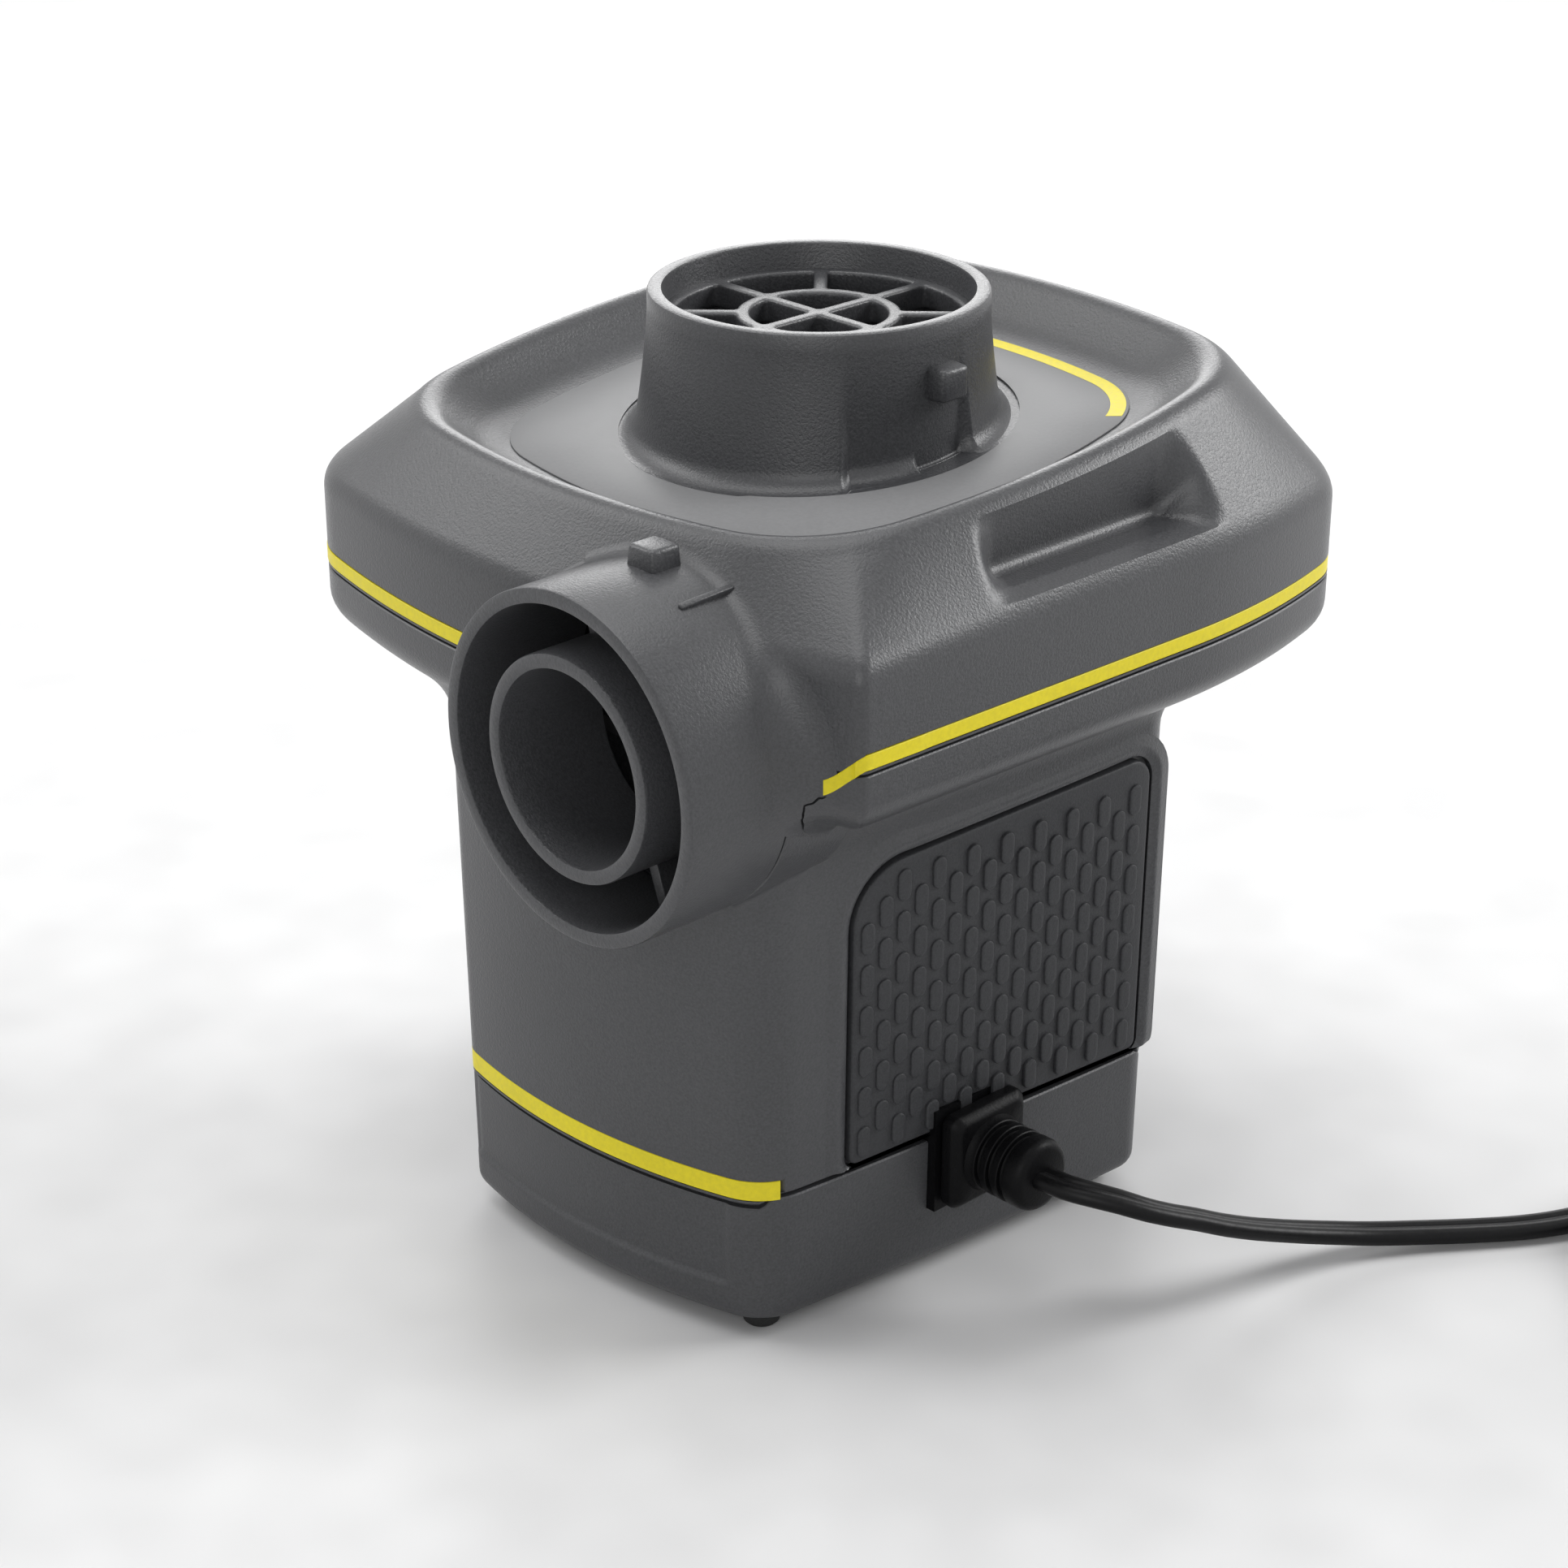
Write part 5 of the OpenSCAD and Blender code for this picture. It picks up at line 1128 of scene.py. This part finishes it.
def gripRecess(side):
    outline = grown(roundedOutline(grips[side]), grips["gap"])
    return ringStack([onFace(side, outline, h) for h in grips["recess"]])


# A raised edge round the grip, which falls away softly to the column's skin.
def gripFrame(side):
    outline, sections = roundedOutline(grips[side]), []
    for d, h in grips["frame"]:
        ring = grown(outline, d)
        ring[:, 1] = np.maximum(ring[:, 1], grips["frameLow"])
        sections.append(onFace(side, ring, h))
    return ringStack(sections, looped=True)


inletLow, inletHigh = nodeBlock("power_inlet", 0.1)
inletHole = blockShape(inletLow, inletHigh + (6, 0, 0))
switchLow, switchHigh = nodeBlock("switch_housing", 0.0)
switchHole = blockShape(switchLow + (1.1, 0, 1.1), switchHigh + (-1.1, 4, -1.1))
tubeCuts = [tubeCutter(tube["r"] + 0.12, tube["seam"] + 0.25, 24, 120),
            tubeCutter(tube["boreR"], tube["collarBack"], tube["boreL"])]


# The lower half of a collar that the inflate port's tube runs into.
def collar():
    r, inside, face, back = [tube["r"], tube["r"] - tube["wall"], tube["seam"] + 0.55,
                             tube["collarBack"]]
    profile = ((r, back), (r, face + 0.2), (r - 0.2, face), (inside, face), (inside, back))
    return tubeSweep(profile, (-186.6, 6.6), 100)


fairing = {"front": -56.0, "back": -34.0, "sinkFrom": -53.0, "sink": 4.0, "innerRs": (21.6, 24.4),
           "degrees": (-56, -6)}


# Behind the collar its right flank sinks into the column.
def collarFairing():
    front, back, sinkFrom = [fairing[key] for key in ("front", "back", "sinkFrom")]
    profile = [(tube["r"] - 0.02 - fairing["sink"] * smooth((y - sinkFrom) / (back - sinkFrom)), y)
               for y in np.linspace(front, back, 16)]
    profile += zip(fairing["innerRs"], (back, front))
    return tubeSweep(profile, fairing["degrees"], 40)


# The parting line beside the tube goes up the round's edge at the tube, then across the round to
# the near corner. Each step is a place along the round, in degrees, and a share of the way across.
parting = {"from": -25.0, "to": 5.0, "halfWide": 0.17, "depth": (-0.9, 1.6), "steps": (
    (-22.9, 0.04), (-18.1, 0.36), (-12.5, 0.47), (-7.8, 0.51), (-4.6, 0.67), (-1.4, 0.82))}
bodyTree = surfaceTree(ringStack(bowlOuter[:-2] + [wallRing(110.0)], caps=False),
                       ringStack(columnOuter, caps=False), neckShape)
sideStrips = [rolledFillet(bodyTree, tubeLines(first, last, 60), tube["ballReach"])
              for first, last in ((parting["from"], parting["to"]), (-58.0, -42.0), (175.0, 236.0))]
sideFillets = [ringStack(strip) for strip in sideStrips]


def seamRibbon():
    strip, path, outs = sideStrips[0], [], []
    degrees, across = np.array(parting["steps"]).T
    stepShares = np.linspace(0, 1, len(degrees))
    rowDegrees = np.linspace(parting["from"], parting["to"], len(strip))
    for t in np.linspace(0, 1, 60):
        at = np.interp(np.interp(t, stepShares, degrees), rowDegrees, np.arange(len(strip)))
        row = min(int(at), len(strip) - 2)
        section = lerp(strip[row], strip[row + 1], at - row)
        f = arcSteps * (1 - np.interp(t, stepShares, across))
        k = min(int(f), arcSteps - 1)
        path.append(lerp(section[k], section[k + 1], f - k))
        outs.append(unit((section[0] + section[arcSteps]) / 2 - section[arcSteps + 1]))
    sides = unit(np.cross(outs, np.gradient(path, axis=0)))
    (deep, high), w = parting["depth"], parting["halfWide"]
    return ringStack([[p + o * h + s * d for h, d in ((deep, -w), (deep, w), (high, w), (high, -w))]
                      for p, o, s in zip(path, outs, sides)])


sideFillets[0] = cutShape(sideFillets[0], [seamRibbon()])
columnCuts = tubeCuts + [inletHole, switchHole, gripRecess("right"), gripRecess("left")]
bodyShapes = [cutShape(bowlShape, tubeCuts), cutShape(columnShape, columnCuts),
              cutShape(neckShape, tubeCuts), collar(), collarFairing(), gripFrame("right"),
              gripFrame("left")]
addPiece("mainBody", joinShapes(*bodyShapes, *sideFillets), "housing_grey", "main_body")

stripe = {"low": 103.6, "high": 106.0, "thick": 0.7, "edge": 0.1, "fall": 4.6, "fallOver": 6.6,
          "end": 58.0, "corner": (62.6, 62.9), "front": (-60, -40.6), "stop": -91.4, "proud": 0.1,
          "proudX": 64.0, "proudY": -40.0, "sunk": -0.02, "probeZs": (100.0, 101.5, 103.0, 104.5)}


# The stripe goes round the head from the inflate port's left to the near corner, then falls along
# the round beside the tube.
def headStripe():
    outline = wallRing(0)[:, :2]
    tree = surfaceTree(ringStack(saddle), sideFillets[0])
    first, last = np.radians(stripe["front"])
    isFront = headBearings > first
    front = outline[isFront & (headBearings < last)]
    tip = int(np.argmax(isFront & (outline[:, 0] > stripe["corner"][1])))
    stop = int(np.argmax(headBearings > math.radians(stripe["stop"])))
    path = []
    for x in np.linspace(stripe["end"], stripe["corner"][0], 12):
        hits = [tree.ray_cast(Vector((x, -95.0, z)), Vector((0, 1, 0)))[0]
                for z in stripe["probeZs"]]
        wall = np.interp(x, front[:, 0], front[:, 1])
        path.append((x, min([hit.y for hit in hits if hit] + [wall])))
    path = np.concatenate([path, outline[tip:], outline[:stop]])
    gone = np.cumsum(np.linalg.norm(np.diff(path, axis=0, prepend=path[:1]), axis=1))
    gone /= stripe["fallOver"]
    drop = stripe["fall"] * (1 - lerp(smooth(gone), np.clip(gone, 0, 1), 0.5))
    atCorner = (path[:, 0] < stripe["proudX"]) & (path[:, 1] < stripe["proudY"])
    face = np.where(atCorner, stripe["proud"], stripe["sunk"])
    along = np.gradient(path, axis=0)
    side = unit(np.column_stack([along[:, 1], -along[:, 0]]))
    low, high, thick, edge = [stripe[key] for key in ("low", "high", "thick", "edge")]
    profile = ((-thick, low), (-0.08, low), (0, low + edge), (0, high - edge), (-0.08, high),
               (-thick, high))
    return ringStack([[(*(p + n * (f + off)), z - d) for off, z in profile]
                      for p, n, d, f in zip(path, side, drop, face)])


addPiece("headStripe", headStripe(), "stripe_yellow", "head_stripe")


def baseStripe():
    order = sorted(np.flatnonzero(onBand[:, 0] > 0), key=lambda i: bearings[i])
    low, high, inset = bandSize["low"] + 0.1, bandSize["high"] - 0.1, bandSize["depth"] - 0.05
    rings = [columnRing(z, depth) for z, depth in (
        (low, inset), (low, 0.05), (low + 0.1, -0.03), (high - 0.1, -0.03), (high, 0.05),
        (high, inset))]
    return bandOf(rings, order)


addPiece("baseStripe", baseStripe(), "stripe_yellow", "base_stripe")


print("stage: base")
base = {"bottom": 2.2, "edgeR": 3.2, "wall": 2.4, "lip": 1.2, "wallFrom": 6.0, "floorTop": 4.6,
        "panel": {"left": -21.0, "right": 39.3, "low": 8.6, "depth": 0.55, "soft": 1.4,
                  "softUp": 1.1, "gaugeZ": 15.0, "backY": -25.0},
        "slots": 5, "slotPitch": 6.0, "slotHalf": (12.0, 1.2, 1.15),
        "screws": ((35, -43), (-14, -43), (38, 14.5), (-18, 14.5))}


def baseShape():
    panel, edgeR, wall, lip = base["panel"], base["edgeR"], base["wall"], base["lip"]
    rings = [columnRing(base["bottom"] + edgeR * (1 - math.cos(a)), edgeR * (1 - math.sin(a)))
             for a in np.radians(np.linspace(0, 90, 9))]
    x, y = columnRing(panel["gaugeZ"])[:, :2].T
    across = smooth((x - panel["left"]) / panel["soft"])
    across = across * smooth((panel["right"] - x) / panel["soft"]) * (y < panel["backY"])
    low, top, edge = base["wallFrom"], seam["base"] - 0.25, seam["base"] + jog
    for z in np.concatenate([np.linspace(low, 10.5, 13), np.linspace(11.5, top, 8)]):
        share = (across * smooth((z - panel["low"]) / panel["softUp"]))[:, None]
        ring = lerp(columnRing(z), columnRing(z, panel["depth"]), share)
        ring[:, 2] += jog * ((z - low) / (top - low))
        rings.append(ring)
    inset = 0.25 + (across[:, None] > 0.5) * panel["depth"] * 0.5
    rings += [lerp(columnRing(edge), columnRing(edge, 1.0), inset), columnRing(edge, lip),
              columnRing(edge + lip, lip), columnRing(edge + lip, wall),
              columnRing(base["floorTop"] + 0.8, wall), columnRing(base["floorTop"], wall + 0.8)]
    return ringStack(rings)


# The inlet's opening, the vents and the screws' wells.
def baseCuts():
    cuts = [inletHole]
    halfX, halfY, r = base["slotHalf"]
    for k in range(base["slots"]):
        y = (k - (base["slots"] - 1) / 2) * base["slotPitch"]
        slot = roundedOutline([(-halfX, y - halfY, r), (halfX, y - halfY, r),
                               (halfX, y + halfY, r), (-halfX, y + halfY, r)], 5)
        cuts.append(ringStack([lift(slot, z) for z in (0.0, 8.0)]))
    for x, y in base["screws"]:
        points, faces = lathe([(1.8, 8.0), (1.8, 3.6), (3.5, 3.6), (3.5, 0.0)], 40, False)
        cuts.append((points + (x, y, 0), faces))
    return cuts


addPiece("baseCover", cutShape(baseShape(), baseCuts()), "base_grey", "base_cover")


print("stage: grips")
pad = {"face": 0.52, "edge": ((0.0, -1.1), (0.0, 0.05), (-0.1, 0.3), (-0.3, 0.45), (-0.7, 0.52)),
       "shrink": (0.9, 0.75, 0.6, 0.45, 0.3, 0.15, 0.02)}
stud = {"width": 2.5, "length": 5.3, "raise": 0.36, "pitchAlong": 3.45, "pitchUp": 7.1, "rows": 8,
        "cornerR": 9.0}


def gripPad(side):
    outline = roundedOutline(grips[side])
    levels = [(grown(outline, d), h) for d, h in pad["edge"]]
    inner = levels[-1][0]
    middle = inner.mean(axis=0)
    levels += [(middle + (inner - middle) * k, pad["face"]) for k in pad["shrink"]]
    return ringStack([onFace(side, ring, h) for ring, h in levels])


# One stud in face coordinates: along, up and out.
def studShape():
    w, l, h, face = stud["width"] / 2, stud["length"] / 2, stud["raise"], pad["face"]
    rings = []
    for inset, z in ((0.0, 0.3), (0.0, face + h * 0.6), (0.06, face + h * 0.88), (0.18, face + h),
                     (0.6, face + h)):
        r = w - inset
        rings.append([(r * math.cos(a), end * (l - w) + r * math.sin(a), z)
                      for end, first in ((1, 0), (-1, 180))
                      for a in np.radians(first + np.linspace(0, 180, 9))])
    return ringStack(rings)


# Studs in staggered columns, kept inside the pad, bent on to the face that carries it.
def makeStudGroup():
    group, gin, gout = shapeGroup("gripStuds", ["Columns", "Rows"], [
        "Pitch Along", "Pitch Up", "First Along", "First Up", "Top At Start", "Top Rise",
        "Corner Radius", "Face Turn", "Face Distance", "Face Bow", "Gauge Height", "Draft",
        "Axis Back"])

    def m(operation, a, b=0.0):
        return nodeMath(group, operation, a, b)

    def position():
        here = group.nodes.new("GeometryNodeInputPosition").outputs[0]
        return addNode(group, "ShaderNodeSeparateXYZ", {0: here}).outputs
    index = group.nodes.new("GeometryNodeInputIndex").outputs[0]
    columnNo = m("MODULO", index, gin["Columns"])
    rowNo = m("FLOOR", m("DIVIDE", index, gin["Columns"]))
    along = m("ADD", gin["First Along"], m("MULTIPLY", columnNo, gin["Pitch Along"]))
    shift = m("MULTIPLY", m("MODULO", columnNo, 2.0), 0.5)
    up = m("ADD", gin["First Up"], m("MULTIPLY", m("ADD", rowNo, shift), gin["Pitch Up"]))
    points = outOf(group, "GeometryNodePoints", {
        "Count": m("MULTIPLY", gin["Columns"], gin["Rows"]),
        "Position": outOf(group, "ShaderNodeCombineXYZ", {"X": along, "Y": up})})
    here = position()
    fromStart = m("SUBTRACT", here[0], gin["First Along"])
    top = m("ADD", gin["Top At Start"], m("MULTIPLY", fromStart, gin["Top Rise"]))
    dip = m("POWER", m("MAXIMUM", 0.0, m("SUBTRACT", gin["Corner Radius"], fromStart)), 2.0)
    topHere = m("SUBTRACT", top, m("MULTIPLY", dip, m("DIVIDE", 0.6, gin["Corner Radius"])))
    tooHigh = outOf(group, "FunctionNodeCompare", {0: here[1], 1: topHere}, data_type="FLOAT",
                    operation="GREATER_THAN")
    kept = outOf(group, "GeometryNodeDeleteGeometry", {"Geometry": points, "Selection": tooHigh},
                 domain="POINT")
    studs = outOf(group, "GeometryNodeInstanceOnPoints", {"Points": kept,
                                                          "Instance": gin["Geometry"]})
    real = outOf(group, "GeometryNodeRealizeInstances", {"Geometry": studs})
    at, faceTurn = position(), gin["Face Turn"]
    angle = m("ADD", faceTurn, m("DIVIDE", at[0], gin["Face Bow"]))
    narrow = m("MULTIPLY", m("SUBTRACT", gin["Gauge Height"], at[1]), gin["Draft"])
    radius = m("ADD", m("SUBTRACT", gin["Face Bow"], narrow), at[2])
    away = m("SUBTRACT", gin["Face Distance"], gin["Face Bow"])
    x, y = [m("ADD", m("MULTIPLY", away, m(way, faceTurn)), m("MULTIPLY", radius, m(way, angle)))
            for way in ("COSINE", "SINE")]
    spread = outOf(group, "ShaderNodeCombineXYZ", {
        "X": x, "Y": m("ADD", y, gin["Axis Back"]), "Z": at[1]})
    metres = outOf(group, "ShaderNodeVectorMath", {0: spread, "Scale": mm}, operation="SCALE")
    bent = outOf(group, "GeometryNodeSetPosition", {"Geometry": real, "Position": metres})
    return paintGroup(group, gin, gout, bent)


studGroup = makeStudGroup()
studSets = {
    "right": {"Columns": 17, "First Along": -32.4, "First Up": 30.6, "Top At Start": 74.2,
              "Top Rise": 0.048},
    "left": {"Columns": 16, "First Along": -19.6, "First Up": 30.6, "Top At Start": 74.6,
             "Top Rise": 0.0},
}
for side, settings in studSets.items():
    addPiece("grip" + side.capitalize(), gripPad(side), "grip_rubber", "grip_" + side)
    studs = newObject("gripStuds" + side.capitalize(), newMesh("studs", *studShape()))
    geometryModifier(studs, studGroup, {
        **settings, "Rows": stud["rows"], "Pitch Along": stud["pitchAlong"],
        "Pitch Up": stud["pitchUp"], "Corner Radius": stud["cornerR"],
        "Face Turn": math.radians(columnSize[side + "Turn"]), "Face Distance": columnSize[side],
        "Face Bow": columnSize["sideBow"], "Gauge Height": columnSize["gaugeZ"],
        "Draft": columnSize["draft"], "Axis Back": axisY, "Material": finish["grip_rubber"]})
    place(settle(studs, roundAngle, finish["grip_rubber"]), "pump_body", "grip_rubber")


print("stage: plugs")
plug = {"y": -13.5, "z": 22.0, "flange": 16.5, "flangeT": 3.5, "bevel": 1.2, "nose": (5.65, 3.15),
        "reliefR": 6.1, "reliefL": 11.0, "grooves": 3, "grooveStart": 1.6, "groovePitch": 2.4,
        "grooveW": 1.1, "grooveD": 0.9}


def plugRings(steps):
    return ringStack([[(x, plug["y"] + y, plug["z"] + z) for y, z in outline]
                      for x, outline in steps])


# A square flange on a flat nose, and a strain relief with grooves.
def cordPlug():
    low, high = nodeBlock("cord_plug", 0.0)
    frontX = high[0] - plug["reliefL"]
    faceX = frontX - plug["flangeT"]
    h, bevel = plug["flange"] / 2, plug["bevel"]
    flange = plugRings([(x, roundRect(half, half, r)) for x, half, r in (
        (faceX, h - 0.3, 1.5), (faceX + 0.3, h, 1.8), (frontX - bevel - 0.4, h, 1.8),
        (frontX - bevel, h - 0.12, 1.8), (frontX - 0.18, h - bevel * 0.85, 1.6),
        (frontX, h - bevel - 0.3, 1.4), (frontX, 1.0, 0.5))])
    y, z = plug["nose"]
    nose = plugRings([(x, ((-y, -z), (y, -z), (y, z), (-y, z))) for x in (low[0], faceX + 0.5)])
    r, l, d, w = plug["reliefR"], plug["reliefL"], plug["grooveD"], plug["grooveW"]
    profile = [(0.01, -0.5), (r + 0.5, -0.5), (r + 0.4, 0.1), (r + 0.1, 0.5)]
    for k in range(plug["grooves"]):
        z = plug["grooveStart"] + k * plug["groovePitch"]
        profile += [(r, z - 0.15), (r - 0.15, z), (r - d + 0.1, z + 0.08), (r - d, z + 0.3),
                    (r - d, z + w - 0.3), (r - d + 0.1, z + w - 0.08), (r - 0.15, z + w),
                    (r, z + w + 0.15)]
    profile += [(r, l - 1.6), (r - 0.25, l - 0.8), (r - 0.75, l - 0.25), (r - 1.5, l), (0.01, l)]
    relief = pointed(lathe(profile, 72, False), "right", (frontX, plug["y"], plug["z"]))
    return joinShapes(flange, nose, relief)


mains = {"x": 162.0, "y": 61.0, "z": 17.0, "sections": (  # along, half sizes, roundness
    (0.0, 3.9, 3.4, 0.9), (0.5, 4.3, 3.9, 0.9), (4.0, 4.4, 4.3, 0.8), (7.5, 6.2, 5.2, 0.7),
    (11.5, 8.6, 6.1, 0.6), (16.0, 10.9, 6.7, 0.5), (20.5, 12.9, 6.95, 0.45), (23.0, 13.7, 7.0, 0.4),
    (29.3, 13.85, 7.0, 0.4), (29.8, 13.6, 6.75, 0.4), (30.0, 13.0, 6.2, 0.4))}


# Flattened sections from the cord's end to the pins' face.
def mainsPlug():
    rings = []
    for y, w, h, roundness in mains["sections"]:
        r = min(w, h) * lerp(0.35, 1.0, roundness)
        rings.append([(mains["x"] + x, mains["y"] + y, mains["z"] + z)
                      for x, z in roundRect(w, h, r)])
    return ringStack(rings)


plugObject = addObject("cordPlug", cordPlug(), finish["plug_black"])
mainsObject = addObject("mainsPlug", mainsPlug(), finish["plug_black"])
place(plugObject, "power_cord", "plug_black", "cord_plug")
place(mainsObject, "power_cord", "plug_black", "mains_plug")
place(tieObject, "power_cord", "plug_black")
place(cordObject, "power_cord", "cord_pvc", "cord_lead", "cord_coil")


print("stage: carried nodes")
for name, obj in frame["nodes"].items():
    obj.data.materials.clear()
    obj.data.materials.append(finish[slotOf[name]])


print("stage: light")
floor = {"sides": 96, "z": -0.0002, "colour": (0.82, 0.82, 0.82)}
floorEdge = [(*toward(a), 0) for a in np.arange(floor["sides"]) * 2 * math.pi / floor["sides"]]
floorMesh = newMesh("floor", floorEdge, [tuple(range(floor["sides"]))])
floorMesh.materials.append(grainy("paleFloor", floor["colour"], 0.7, 30.0, 0.01, 0.0, spec=0.2))
floorObject = newObject("floor", floorMesh)
floorObject.location.z = floor["z"]
lights = {
    "backLight": {"place": (-0.95, 0.9, 0.64), "size": 0.9, "power": 7.0},
    "sideLight": {"place": (0.6, 1.05, 0.72), "size": 0.7, "power": 10.5},
    "leftLight": {"place": (-0.95, -0.5, 0.9), "size": 0.8, "power": 5.5},
    "nearLight": {"place": (0.75, -1.0, 0.6), "size": 0.9, "power": 3.5},
    "topLight": {"place": (-0.2, 0.0, 1.5), "size": 1.2, "power": 9.2},
}
aimedAt = Vector((0.0, 0.0, 0.07))
for name, lamp in lights.items():
    data = bpy.data.lights.new(name, "AREA")
    data.shape, data.size, data.energy = "DISK", lamp["size"], lamp["power"]
    aim(newObject(name, data), lamp["place"], aimedAt - Vector(lamp["place"]))

# The camera and mirror rays see the backdrop, and other rays get the dimmer light.
studio = {"light": (0.2, 0.2, 0.204, 1), "backdrop": (1, 1, 1, 1)}
world = bpy.data.worlds.new("studio")
world.use_nodes = True
scene.world = world
tree = world.node_tree
background = tree.nodes["Background"].inputs
rays = tree.nodes.new("ShaderNodeLightPath").outputs
seen = nodeMath(tree, "MAXIMUM", rays["Is Camera Ray"], rays["Is Glossy Ray"])
seen = nodeMath(tree, "MAXIMUM", seen, rays["Is Transmission Ray"])
tree.links.new(mixColour(tree, seen, studio["light"], studio["backdrop"]), background["Color"])
background["Strength"].default_value = 1.0
scene.view_settings.view_transform = "Standard"


print("stage: finish")
